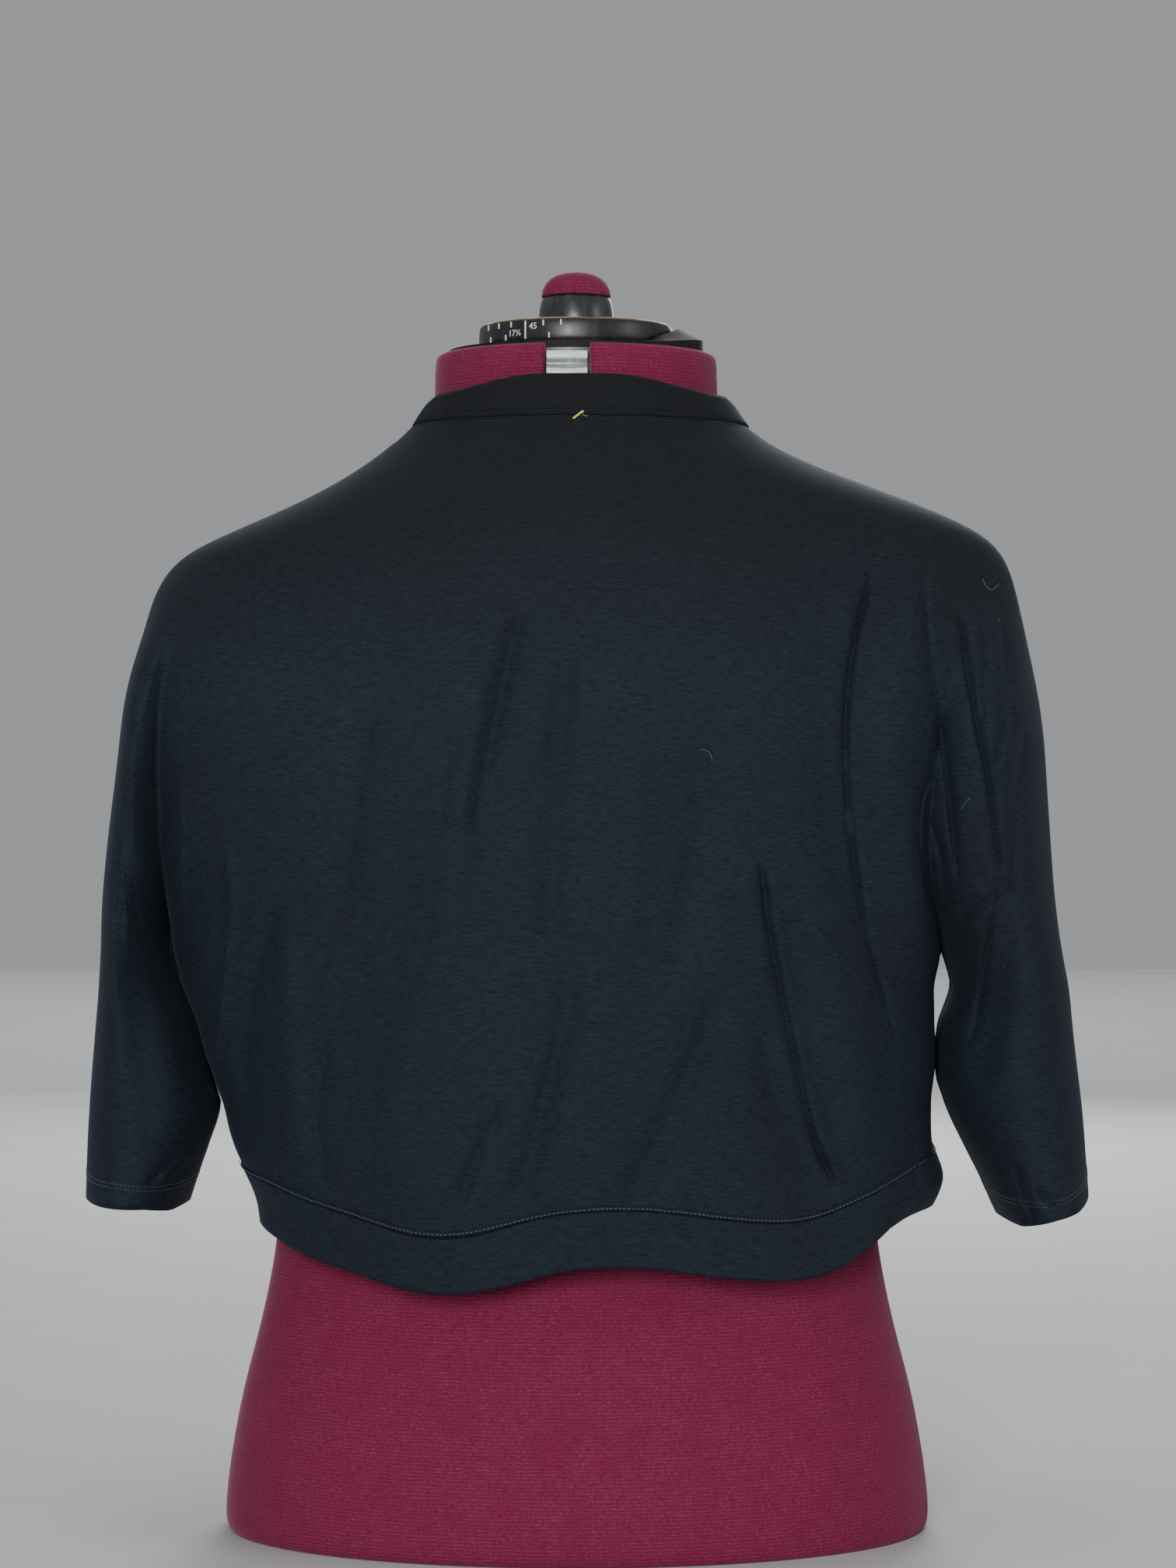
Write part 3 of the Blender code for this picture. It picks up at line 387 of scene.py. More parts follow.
def jersey_material():
    made = Nodes("black_jersey")
    c = colours()
    courses = made.noise((240, 240, 1500), 3.0, 0.6)
    speckle = made.noise((1500, 1500, 1700), 2.0, 0.6)
    patches = made.noise((16, 16, 11), 3.0, 0.55)
    yarn = made.mix(made.ramp(courses, 0.34, 0.70), tuple(c.jersey_dark), tuple(c.jersey_light))
    flecked = made.mix(made.ramp(speckle, 0.60, 0.78), yarn, (0.028, 0.040, 0.056), 0.5)
    patchy_and_rim_tint = made.mix(made.ramp(patches, 0.30, 0.75), flecked, (0.0115, 0.0125, 0.0150), 0.35)
    # Painted shade: the cloth turns darker and browner towards the top, where the shoulders slope away from
    # the light.
    painted_shoulder_shade = made.mix(made.height(0.43, 0.57), patchy_and_rim_tint, (0.0085, 0.0072, 0.0062), 0.6)
    made.link(painted_shoulder_shade, made.shader.inputs["Base Color"])
    made.rough(patches, 0.72, 0.86)
    made.bump(((courses, 0.30, 0.00025), (speckle, 0.25, 0.00015)))
    made.set(Specular_IOR_Level=0.12)
    made.set(Sheen_Weight=0.03, Sheen_Roughness=0.4, Sheen_Tint=(0.50, 0.66, 0.90, 1))
    return made.material


def thread_material(name, colour, light):
    made = Nodes(name)
    fibres = made.noise((2600, 2600, 2600), 2.0, 0.6)
    made.link(made.mix(made.ramp(fibres, 0.3, 0.7), colour, light), made.shader.inputs["Base Color"])
    made.rough(fibres, 0.50, 0.75)
    made.bump(((fibres, 0.25, 0.0001),))
    made.set(Sheen_Weight=0.15, Sheen_Roughness=0.5)
    return made.material


def cover_material():
    made = Nodes("burgundy_cover")
    c = colours()
    ribs = made.wave("Z", 175.0, 1.8, 3.0)
    nap = made.noise((700, 700, 1300), 3.0, 0.65)
    fluff = made.noise((1500, 1500, 1500), 2.0, 0.7)
    patches = made.noise((60, 60, 60), 2.0, 0.5)
    yarn = made.mix(made.ramp(nap, 0.30, 0.72), tuple(c.cover_dark), tuple(c.cover_light))
    rows = made.mix(ribs, yarn, tuple(c.cover_dark), 0.55)
    patchy_and_rim_tint = made.mix(made.ramp(patches, 0.40, 0.80), rows, (0.15, 0.008, 0.032), 0.5)
    pale = made.mix(made.ramp(fluff, 0.62, 0.74), patchy_and_rim_tint, (0.42, 0.13, 0.20), 0.5)
    made.link(pale, made.shader.inputs["Base Color"])
    made.rough(nap, 0.80, 0.95)
    made.bump(((ribs, 0.35, 0.0004), (nap, 0.50, 0.0004), (fluff, 0.40, 0.0003)))
    made.set(Specular_IOR_Level=0.15)
    made.set(Sheen_Weight=0.18, Sheen_Roughness=0.4, Sheen_Tint=(1.0, 0.50, 0.62, 1))
    return made.material


def plastic_material(name, colour, roughness, warm=None, rim=None):
    """Moulded plastic. rim is another colour: the heights and the distances from a centre where it starts
    and is full. On the dial that colour is a painted highlight along the top edge."""
    made = Nodes(name)
    scuffs = made.noise((260, 260, 60), 4.0, 0.6)
    grain = made.noise((1400, 1400, 1400), 2.0, 0.5)
    light = warm or tuple(x * 2.2 + 0.004 for x in colour)
    shade = made.mix(made.ramp(scuffs, 0.45, 0.85), colour, light)
    if rim is not None:
        # The rim band: a painted highlight on the dial, and a browner lip on the cap.
        low, high, patchy_and_rim_tint, centre, inner, outer = rim
        edge = made.math("MULTIPLY", made.height(low, high), made.away(centre, inner, outer))
        shade = made.mix(edge, shade, patchy_and_rim_tint, 0.85)
    made.link(shade, made.shader.inputs["Base Color"])
    made.rough(scuffs, roughness - 0.06, roughness + 0.12)
    made.bump(((grain, 0.12, 0.00008),))
    made.set(Specular_IOR_Level=0.5, IOR=1.5)
    return made.material


def paint_material():
    made = Nodes("white_marks")
    wear = made.noise((900, 900, 900), 2.0, 0.5)
    paint = made.mix(made.ramp(wear, 0.35, 0.75), (0.62, 0.62, 0.60), (0.82, 0.82, 0.80))
    made.link(paint, made.shader.inputs["Base Color"])
    made.rough(wear, 0.45, 0.65)
    return made.material


# Meshes


def new_object(name, mesh, material):
    made = bpy.data.objects.new(name, mesh)
    bpy.context.scene.collection.objects.link(made)
    mesh.materials.clear()
    mesh.materials.append(material)
    return made


def from_parts(name, points, faces, material, smooth=True):
    mesh = bpy.data.meshes.new(name)
    mesh.from_pydata([tuple(p) for p in points], [], [tuple(f) for f in faces])
    mesh.validate()
    mesh.update()
    for polygon in mesh.polygons:
        polygon.use_smooth = smooth
    return new_object(name, mesh, material)


def read_points(mesh):
    points = np.empty(len(mesh.vertices) * 3)
    mesh.vertices.foreach_get("co", points)
    return points.reshape(-1, 3)


def write_points(mesh, points):
    mesh.vertices.foreach_set("co", np.ascontiguousarray(points).ravel())
    mesh.update()


def fine_copy(node, name, levels, material, corner=62.0):
    """A copy of a CAD node in quads, smoothed and subdivided, with its hard edges kept."""
    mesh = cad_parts[node].data.copy()
    mesh.name = name
    work = bmesh.new()
    work.from_mesh(mesh)
    bmesh.ops.remove_doubles(work, verts=work.verts, dist=0.00002)
    bmesh.ops.join_triangles(
        work, faces=work.faces,
        angle_face_threshold=math.radians(40), angle_shape_threshold=math.radians(50))
    bmesh.ops.recalc_face_normals(work, faces=work.faces)
    crease = work.edges.layers.float.get("crease_edge") or work.edges.layers.float.new("crease_edge")
    for edge in work.edges:
        edge.smooth = True
        if len(edge.link_faces) == 2 and edge.calc_face_angle(0.0) > math.radians(corner):
            edge[crease] = 1.0
    work.to_mesh(mesh)
    work.free()
    if "custom_normal" in mesh.attributes:
        mesh.attributes.remove(mesh.attributes["custom_normal"])
    made = new_object(name, mesh, material)
    subdivide(made, levels)
    return made


def select_only(made):
    bpy.ops.object.select_all(action="DESELECT")
    made.select_set(True)
    bpy.context.view_layer.objects.active = made


def shade_smooth(mesh):
    for polygon in mesh.polygons:
        polygon.use_smooth = True


def subdivide(made, levels):
    modifier = made.modifiers.new("fine", "SUBSURF")
    modifier.levels = levels
    modifier.render_levels = levels
    modifier.boundary_smooth = "PRESERVE_CORNERS"
    select_only(made)
    bpy.ops.object.modifier_apply(modifier=modifier.name)
    shade_smooth(made.data)


# Creases


def smooth_step(value):
    t = np.clip(value, 0.0, 1.0)
    return t * t * (3 - 2 * t)


def rounded(points, steps=5):
    """More points on a smooth line through the given ones."""
    points = np.array(points, float)
    ends = np.vstack([2 * points[0] - points[1], points, 2 * points[-1] - points[-2]])
    out = []
    for i in range(1, len(ends) - 2):
        a, b, c, d = ends[i - 1:i + 3]
        for step in range(steps):
            t = step / steps
            straight = 2 * b + (c - a) * t
            bend = (2 * a - 5 * b + 4 * c - d) * t**2 + (3 * b - a - 3 * c + d) * t**3
            out.append(0.5 * (straight + bend))
    out.append(ends[-2])
    return np.array(out)


def line_distance(seen, line):
    """Signed distance to a line, positive on its right as it runs down, and the share of the way along."""
    best = np.full(len(seen), np.inf)
    signed = np.zeros(len(seen))
    along = np.zeros(len(seen))
    lengths = np.linalg.norm(np.diff(line, axis=0), axis=1)
    start = 0.0
    for a, b, length in zip(line[:-1], line[1:], lengths):
        way = (b - a) / length
        offset = seen - a
        t = np.clip(offset @ way, 0, length)
        away = offset - t[:, None] * way
        distance = np.hypot(away[:, 0], away[:, 1])
        side = way[0] * offset[:, 1] - way[1] * offset[:, 0]
        nearer = distance < best
        best = np.where(nearer, distance, best)
        signed = np.where(nearer, np.sign(side) * distance, signed)
        along = np.where(nearer, (start + t) / lengths.sum(), along)
        start += length
    return signed, along


def crease_height(seen, rows, lining):
    """How far the creases move the cloth out at points seen from the camera, in metres. Within the wall's
    lining a trough is wider, so that the wall never folds into itself."""
    out = np.zeros(len(seen))
    for number, row in enumerate(rows):
        crease = dict(zip(CREASE_COLUMNS, row))
        line = rounded(np.array(crease["points"]) / 1000)
        depth, width, lip = crease["depth"] / 1000, crease["width"] / 1000, crease["lip"] / 1000
        low = line.min(axis=0) - CREASE_REACH * width
        high = line.max(axis=0) + CREASE_REACH * width
        near = np.all((seen > low) & (seen < high), axis=1)
        if not near.any():
            continue
        signed, along = line_distance(seen[near], line)
        ends = smooth_step(along / CREASE_ENDS) * smooth_step((1 - along) / CREASE_ENDS)
        uneven = 1 + 0.14 * np.sin(9.0 * along + 1.7 * number) + 0.08 * np.sin(23.0 * along + 2.9 * number)
        pinched = np.exp(-(np.abs(signed) / width) ** (2 * crease["sharp"]))
        trough = np.where(lining[near], np.exp(-(signed / (LINING_WIDTH * width)) ** 2), pinched)
        toward = math.copysign(1.0, lip)
        roll = np.exp(-((signed - toward * LIP_PLACE * width) / (LIP_WIDTH * width)) ** 2)
        full = np.exp(-(signed / (LIFT_REACH * width)) ** 2)
        out[near] += ends * uneven * (crease["lift"] / 1000 * full + abs(lip) * roll - depth * trough)
    return out * sizes().crease_scale


def seam_place(z):
    """How far forward the side seams stand at height z."""
    return np.interp(z, SEAM_HEIGHTS, SEAM_PLACES)


def read_normals(mesh):
    normals = np.empty(len(mesh.vertices) * 3)
    mesh.vertices.foreach_get("normal", normals)
    return normals.reshape(-1, 3)


def crease_move(points, normals):
    """How far along Y the creases move each point. They die away at the side seams."""
    camera = np.array(CAMERA_PLACE)
    beyond = points[:, 1] - seam_place(points[:, 2])
    behind = beyond < 0
    share = CAMERA_REACH / (CAMERA_REACH + points[:, 1])
    seen = camera[[0, 2]] + (points[:, [0, 2]] - camera[[0, 2]]) * share[:, None]
    outwards = np.stack([np.abs(points[:, 0]), points[:, 2]], axis=1)
    move = np.zeros(len(points))
    move[behind] = -crease_height(seen[behind], BACK_CREASES, normals[behind, 1] > 0)
    move[~behind] = crease_height(outwards[~behind], FRONT_CREASES, normals[~behind, 1] < 0)
    return move * smooth_step(np.abs(beyond) / BACK_FADE)


def refine(made):
    """Cuts the faces in four where the creases are steep, and those of the outside once more."""
    for turn, step in enumerate(FINE_STEPS):
        move = crease_move(read_points(made.data), read_normals(made.data))
        work = bmesh.new()
        work.from_mesh(made.data)
        work.verts.ensure_lookup_table()
        edges = set()
        for face in work.faces:
            heights = [move[v.index] for v in face.verts]
            if max(heights) - min(heights) < step:
                continue
            outer = face.normal.y * (face.calc_center_median().y - FACING_SPLIT) > 0
            if outer or turn == 0:
                edges.update(face.edges)
        bmesh.ops.subdivide_edges(work, edges=list(edges), cuts=1, use_grid_fill=True, smooth=0.0)
        work.normal_update()
        work.to_mesh(made.data)
        work.free()
    shade_smooth(made.data)


def roll_neck(points):
    """Lays the neck band's top edge down in a roll at its sides."""
    limits = np.array(NECK_ROLL)
    limit = np.interp(np.abs(points[:, 0]), limits[:, 0], limits[:, 1])
    high = (points[:, 2] > NECK_ROLL_START) & (np.abs(points[:, 0]) > limits[0, 0])
    points[high, 2] -= NECK_ROLL_SHARE * np.maximum(points[high, 2] - limit[high], 0.0)


def within_body(across):
    """1 on the body and 0 on the sleeves, by the distance across."""
    edge, fade = BODY_EDGE
    return smooth_step((edge - across) / fade)


def draw_in(points):
    """Draws the hem's corners in at the side seams."""
    for side, most, high, low, near, far in HEM_CORNERS:
        across = points[:, 0] * side
        down = smooth_step((high - points[:, 2]) / (high - low))
        out = smooth_step((across - near) / (far - near))
        points[:, 0] -= side * most * (down * out) * within_body(across)


def raise_hem(points):
    """Flares the hem's right end and lifts its lower edge there."""
    most, height, reach, start, over = HEM_FLARE
    body = within_body(points[:, 0]) * smooth_step((points[:, 0] - start) / over)
    points[:, 0] += most * np.exp(-((points[:, 2] - height) / reach) ** 2) * body
    rows = np.array(HEM_RISE)
    lift = np.interp(points[:, 0], rows[:, 0], rows[:, 1])
    across, height, slope, reach = HEM_SEAM
    seam = height + slope * (points[:, 0] - across)
    points[:, 2] += lift * smooth_step((seam - points[:, 2]) / reach)


def close_gaps(points):
    """Leans the sleeves and the body's sides over the gaps between them."""
    for side, rows in ((-1, np.array(LEFT_GAP)), (1, np.array(RIGHT_GAP))):
        found = [np.interp(points[:, 2], rows[:, 0], rows[:, k]) for k in range(1, 5)]
        sleeve, body, sleeve_lean, body_lean = found
        beyond = (points[:, 0] - (sleeve + body) / 2) * side > 0
        within = (points[:, 2] > rows[0, 0]) & (points[:, 2] < rows[-1, 0])
        from_sleeve = np.maximum((points[:, 0] - sleeve) * side, 0.0)
        from_body = np.maximum((body - points[:, 0]) * side, 0.0)
        lean = np.where(
            beyond,
            sleeve_lean * smooth_step(1 - from_sleeve / SLEEVE_REACH),
            body_lean * smooth_step(1 - from_body / BODY_REACH),
        )
        points[within, 0] += lean[within]


def hang_cuffs(points):
    """Lets the cuffs' edges hang as unevenly as shown."""
    rows = np.array(CUFF_HANG)
    drop = np.interp(points[:, 0], rows[:, 0], rows[:, 1])
    high, low = CUFF_REACH
    edge, over = SLEEVE_EDGE
    sleeve = smooth_step((np.abs(points[:, 0]) - edge) / over)
    points[:, 2] += drop * sleeve * smooth_step((high - points[:, 2]) / (high - low))


def shape_cloth(made):
    points = read_points(made.data)
    points[:, 1] += crease_move(points, read_normals(made.data))
    roll_neck(points)
    draw_in(points)
    raise_hem(points)
    close_gaps(points)
    hang_cuffs(points)
    write_points(made.data, points)


def tree_of(made):
    work = bmesh.new()
    work.from_mesh(made.data)
    tree = BVHTree.FromBMesh(work)
    work.free()
    return tree


def clear_of(made, other, clearance):
    """Moves the points of a cloth that come too near the form out of it."""
    tree = tree_of(other)
    points = read_points(made.data)
    for i, point in enumerate(points):
        place, normal, _, _ = tree.find_nearest(Vector(point), FORM_NEAR)
        if place is None:
            continue
        outside = (Vector(point) - place).dot(normal)
        if outside < 0:
            points[i] = np.array(place + normal * clearance)
        elif outside < clearance:
            points[i] = points[i] + np.array(normal) * (clearance - outside)
    write_points(made.data, points)


# Sewing


def stitch_shape():
    """Points and faces of one stitch, one unit long along X and one across, with round ends."""
    rows = ((-0.5, 0.0), (-0.42, 0.6), (-0.2, 1.0), (0.2, 1.0), (0.42, 0.6), (0.5, 0.0))
    sides = 6
    points = [(rows[0][0], 0.0, 0.0)]
    for along, radius in rows[1:-1]:
        for k in range(sides):
            turn = 2 * math.pi * k / sides
            points.append((along, 0.5 * radius * math.cos(turn), 0.5 * radius * math.sin(turn)))
    points.append((rows[-1][0], 0.0, 0.0))
    faces = []
    for k in range(sides):
        faces.append((0, 1 + (k + 1) % sides, 1 + k))
        for r in range(len(rows) - 3):
            a, b = 1 + r * sides + k, 1 + r * sides + (k + 1) % sides
            faces.append((a, b, b + sides, a + sides))
        last = 1 + (len(rows) - 3) * sides
        faces.append((last + k, last + (k + 1) % sides, len(points) - 1))
    return np.array(points), faces


def resampled(points, pitch):
    points = np.array(points)
    steps = np.linalg.norm(np.diff(points, axis=0), axis=1)
    along = np.concatenate([[0], np.cumsum(steps)])
    count = max(2, int(along[-1] / pitch))
    places = np.linspace(0, along[-1], count)
    return np.stack([np.interp(places, along, points[:, k]) for k in range(3)], axis=1)


def averaged(points, times):
    points = np.array(points, float)
    for _ in range(times):
        points[1:-1] = (points[:-2] + 2 * points[1:-1] + points[2:]) / 4
    return points


def outward(point):
    """The way out of the garment at a point of it."""
    way = np.array((0.7 * point[0], point[1] - 0.012, 0.0))
    return way / np.linalg.norm(way)


def snapped(points, tree, lift, out):
    """The points laid on a surface, lifted a little off it, and the surface's normals there."""
    places, normals = [], []
    for point in points:
        place, normal, _, _ = tree.find_nearest(Vector(point + outward(point) * out))
        places.append(np.array(place + normal * lift))
        normals.append(np.array(normal))
    return np.array(places), np.array(normals)


def beside(line, pitch, inset, tree, lift):
    """A line laid on the outside of a cloth beside its seam, and its normals."""
    fine = resampled(line, pitch)
    across = []
    for i, point in enumerate(fine):
        before, after = fine[max(i - 1, 0)], fine[min(i + 1, len(fine) - 1)]
        way = (after - before) / np.linalg.norm(after - before)
        across.append(np.cross(outward(point), way))
    across = averaged(across, 3)
    sides = [fine + inset * across, fine - inset * across]
    gaps = [np.mean([tree.find_nearest(Vector(p))[3] for p in side]) for side in sides]
    return snapped(averaged(sides[int(gaps[1] < gaps[0])], 2), tree, lift, 0.003)


def stitches(name, rows, material):
    """One mesh of all the stitches along rows of (places, normals)."""
    s = sizes()
    shape, shape_faces = stitch_shape()
    points, faces = [], []
    for places, normals in rows:
        for i in range(len(places)):
            before, after = places[max(i - 1, 0)], places[min(i + 1, len(places) - 1)]
            way = (after - before) / np.linalg.norm(after - before)
            up = normals[i] - way * (normals[i] @ way)
            up /= np.linalg.norm(up)
            side = np.cross(up, way)
            start = len(points)
            for x, y, z in shape:
                cross = side * (y * s.stitch_width) + up * (z * s.stitch_width * 0.8)
                points.append(places[i] + way * (x * s.stitch_length) + cross)
            faces.extend(tuple(start + n for n in face) for face in shape_faces)
    return from_parts(name, points, faces, material)


def tube(points, radii, sides):
    """Points and faces of a round tube along points."""
    points = np.array(points)
    count = len(points)
    rings, faces = [], []
    up = np.array((0.0, 0.0, 1.0))
    for i in range(count):
        before, after = points[max(i - 1, 0)], points[min(i + 1, count - 1)]
        way = (after - before) / np.linalg.norm(after - before)
        if abs(way @ up) > 0.95:
            up = np.array((0.0, 1.0, 0.0)) if abs(way[1]) < 0.9 else np.array((1.0, 0.0, 0.0))
        side = np.cross(way, up)
        side /= np.linalg.norm(side)
        up = np.cross(side, way)
        radius = radii[i] if hasattr(radii, "__len__") else radii
        for k in range(sides):
            turn = 2 * math.pi * k / sides
            rings.append(points[i] + radius * (math.cos(turn) * side + math.sin(turn) * up))
    for i in range(count - 1):
        for k in range(sides):
            a, b = i * sides + k, i * sides + (k + 1) % sides
            faces.append((a, b, b + sides, a + sides))
    faces.append(tuple(range(sides))[::-1])
    faces.append(tuple((count - 1) * sides + k for k in range(sides)))
    return rings, faces


def joined(points, faces, more, more_faces):
    """Adds the points and faces of one more shape to those of a mesh."""
    faces.extend(tuple(n + len(points) for n in face) for face in more_faces)
    points.extend(more)


def seam_points(panels, band, reach):
    """Points of the panels' cut edges that lie against a band."""
    near = KDTree(len(band.data.vertices))
    for i, vertex in enumerate(band.data.vertices):
        near.insert(vertex.co, i)
    near.balance()
    out = []
    for panel in panels:
        for vertex in panel.data.vertices:
            if near.find(vertex.co)[2] < reach:
                out.append(tuple(vertex.co))
    return np.array(out)


def seam_line(points, order, bins):
    """A smooth line through scattered points of a seam, in the order of a measure of them."""
    low, high = order.min(), order.max()
    number = np.minimum(((order - low) / (high - low) * bins).astype(int), bins - 1)
    line = [points[number == k].mean(axis=0) for k in range(bins) if (number == k).any()]
    return averaged(line, 6)


def ride(made, slot, *nodes):
    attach(made, "root")
    if nodes:
        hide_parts(*nodes)


PANELS = ("back_panel", "front_panel_left", "front_panel_right")


def cloth_piece(node):
    return bpy.data.objects[node + "_jersey"]


def tree_of_all(nodes):
    """One search tree of several pieces of cloth."""
    work = bmesh.new()
    for node in nodes:
        work.from_mesh(cloth_piece(node).data)
    tree = BVHTree.FromBMesh(work)
    work.free()
    return tree


def make_cloth():
    jersey = jersey_material()
    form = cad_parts["form_torso"]
    for node, levels in (*((panel, 2) for panel in PANELS), ("edge_band", 2), ("hem_band", 3)):
        made = fine_copy(node, node + "_jersey", levels, jersey)
        if "panel" in node:
            refine(made)
        shape_cloth(made)
        if node != "hem_band":
            clear_of(made, form, FORM_CLEARANCE)
        ride(made, "band_jersey" if "band" in node else "jersey", node)


def make_sewing():
    s, c = sizes(), colours()
    light = thread_material("hem_thread", tuple(c.thread), (0.075, 0.095, 0.120))
    dark = thread_material("neck_thread", (0.0030, 0.0030, 0.0034), (0.0080, 0.0085, 0.0095))
    jersey = bpy.data.materials["black_jersey"]
    panels = [cloth_piece(n) for n in PANELS]
    band = cloth_piece("edge_band")
    band_tree = tree_of(band)
    panel_tree = tree_of_all(PANELS)

    hem = seam_points(panels, cloth_piece("hem_band"), SEAM_REACH)
    hem_line = seam_line(hem, hem[:, 0], HEM_BINS)
    arch = seam_points(panels, band, SEAM_REACH)
    turn = np.arctan2(arch[:, 0], arch[:, 2] - ARCH_CENTRE)
    arch_line = seam_line(arch, turn, ARCH_BINS)

    places, normals = beside(hem_line, s.stitch_pitch, 1.1 * s.hem_ridge, panel_tree, 0.0)
    crest = places + normals * s.hem_ridge * 1.04
    made = [stitches("hem_topstitching", [(crest, normals)], light)]
    row = beside(arch_line, s.stitch_pitch, 2.2 * s.neck_ridge, panel_tree, s.stitch_width * STITCH_SINK)
    made.append(stitches("band_topstitching", [row], dark))

    ridges, faces = [], []
    for line, inset, radius, tree in (
        (hem_line, 1.1 * s.hem_ridge, s.hem_ridge, panel_tree),
        (arch_line, 0.3 * s.neck_ridge, s.neck_ridge, panel_tree),
        (arch_line, s.fold_inset, s.fold_ridge, band_tree),
    ):
        places, _ = beside(line, 0.003, inset, tree, 0.0)
        ends = np.minimum(np.arange(len(places)), np.arange(len(places))[::-1])
        joined(ridges, faces, *tube(averaged(places, 2), radius * np.clip(ends / 4 + 0.1, 0, 1), 10))
    made.append(from_parts("band_seam_ridge", ridges, faces, jersey))
    for piece in made:
        ride(piece, "band_jersey")

    rows = []
    for centre_x in CUFF_CENTRES:
        rows.extend(cuff_rows(panels, panel_tree, centre_x))
    quiet = thread_material("cuff_thread", (0.010, 0.016, 0.024), (0.024, 0.034, 0.046))
    ride(stitches("cuff_stitching", rows, quiet), "jersey")


def cuff_rows(panels, tree, centre_x):
    """Two close rows of stitches round a cuff, above its edge."""
    s = sizes()
    sign = math.copysign(1.0, centre_x)
    points = np.vstack([read_points(p.data) for p in panels])
    points = points[(points[:, 0] * sign > SLEEVE_EDGE[0]) & (points[:, 2] < CUFF_TOP)]
    turns = np.linspace(0, 2 * math.pi, CUFF_TURNS)
    angle = np.arctan2(points[:, 1], points[:, 0] - centre_x)
    rows = []
    edge = []
    for turn in turns:
        apart = np.abs((angle - turn + math.pi) % (2 * math.pi) - math.pi)
        edge.append(points[apart < CUFF_WEDGE][:, 2].min())
    edge = averaged(edge, 4)
    for height in (s.cuff_hem, s.cuff_hem + CUFF_ROW_SPACE):
        line = []
        for turn, low in zip(turns, edge):
            way = Vector((math.cos(turn), math.sin(turn), 0.0))
            start = Vector((centre_x, 0.0, low + height))
            hit = tree.ray_cast(start, way, 0.12)[0]
            if hit is None:
                continue
            outer = tree.ray_cast(hit + way * 0.0003, way, 0.004)[0]
            line.append(np.array(outer if outer is not None else hit))
        fine = resampled(averaged(line, 2), s.stitch_pitch)
        away = fine - np.array((centre_x, 0.0, 0.0))
        away[:, 2] = 0.0
        away /= np.linalg.norm(away, axis=1)[:, None]
        places, normals = [], []
        for point, way in zip(fine, away):
            place, normal, _, _ = tree.find_nearest(Vector(point + way * 0.002))
            places.append(np.array(place + normal * s.stitch_width * STITCH_SINK))
            normals.append(np.array(normal))
        rows.append((np.array(places), np.array(normals)))
    return rows


# Dress form


def make_form():
    cover = cover_material()
    for node, corner in (("form_torso", 50.0), ("neck_collar", 80.0), ("knob_dome", 80.0)):
        ride(fine_copy(node, node + "_cover", 2, cover, corner), "form_cover", node)


def smooth_plastic(node, name, material, corner):
    """A round copy of a moulded CAD piece, with its hard edges kept."""
    made = fine_copy(node, name, 2, material, corner)
    bpy.ops.object.shade_smooth_by_angle(angle=math.radians(50))
    ride(made, "dark_plastic", node)


# Outline of the neck's slider from its top down, in metres: how far it stands out and its height
SLIDER_FRONT = (
    (0.0000, 0.6000), (0.0046, 0.5998), (0.0066, 0.5990), (0.0074, 0.5975), (0.0075, 0.5962),
    (0.0070, 0.5956), (0.0056, 0.5953), (0.0046, 0.5945), (0.0042, 0.5935), (0.0043, 0.5925),
    (0.0050, 0.5916), (0.0064, 0.5912), (0.0072, 0.5905), (0.0074, 0.5890), (0.0070, 0.5876),
    (0.0058, 0.5868), (0.0050, 0.5850), (0.0050, 0.5565), (0.0000, 0.5565),
)
# The heights of the hollow between its lips, and of the lower lip, which dips in the middle
SLIDER_HOLLOW = (0.5912, 0.5956)
SLIDER_LIP = (0.5860, 0.5920)
SLIDER_COLUMNS = 14


def make_slider(white, grey):
    """The slider in the gap of the covered neck: a bright lip, a hollow and a lower lip."""
    low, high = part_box("neck_slider")
    columns = SLIDER_COLUMNS
    points, faces = [], []
    for i in range(columns + 1):
        u = 2 * i / columns - 1
        crown = 0.0005 * (1 - u * u)
        for out, z in SLIDER_FRONT:
            dip = 0.0009 * (1 - u * u) if SLIDER_LIP[0] < z < SLIDER_LIP[1] else 0.0
            x = low[0] + (high[0] - low[0]) * i / columns
            points.append((x, high[1] - out * 0.94 - (crown if out > 0 else 0), z - dip))
    rows = len(SLIDER_FRONT)
    for i in range(columns):
        for k in range(rows):
            a, b = i * rows + k, i * rows + (k + 1) % rows
            faces.append((a, a + rows, b + rows, b))
    faces.append(tuple(range(rows)))
    faces.append(tuple(columns * rows + k for k in reversed(range(rows))))
    made = from_parts("neck_slider_milky", points, faces, white)
    work = bmesh.new()
    work.from_mesh(made.data)
    bmesh.ops.recalc_face_normals(work, faces=work.faces)
    work.to_mesh(made.data)
    work.free()
    made.data.materials.append(grey)
    for polygon in made.data.polygons:
        polygon.material_index = int(SLIDER_HOLLOW[0] < polygon.center.z + 0.0003 < SLIDER_HOLLOW[1])
    select_only(made)
    bpy.ops.object.shade_smooth_by_angle(angle=math.radians(55))
    ride(made, "pale_plastic", "neck_slider")


def dial_shape():
    """The dial's centre, radius, middle height and top."""
    low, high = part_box("neck_dial")
    centre = ((low[0] + high[0]) / 2, (low[1] + high[1]) / 2)
    return centre, (high[0] - low[0]) / 2, (low[2] + high[2]) / 2, high[2]


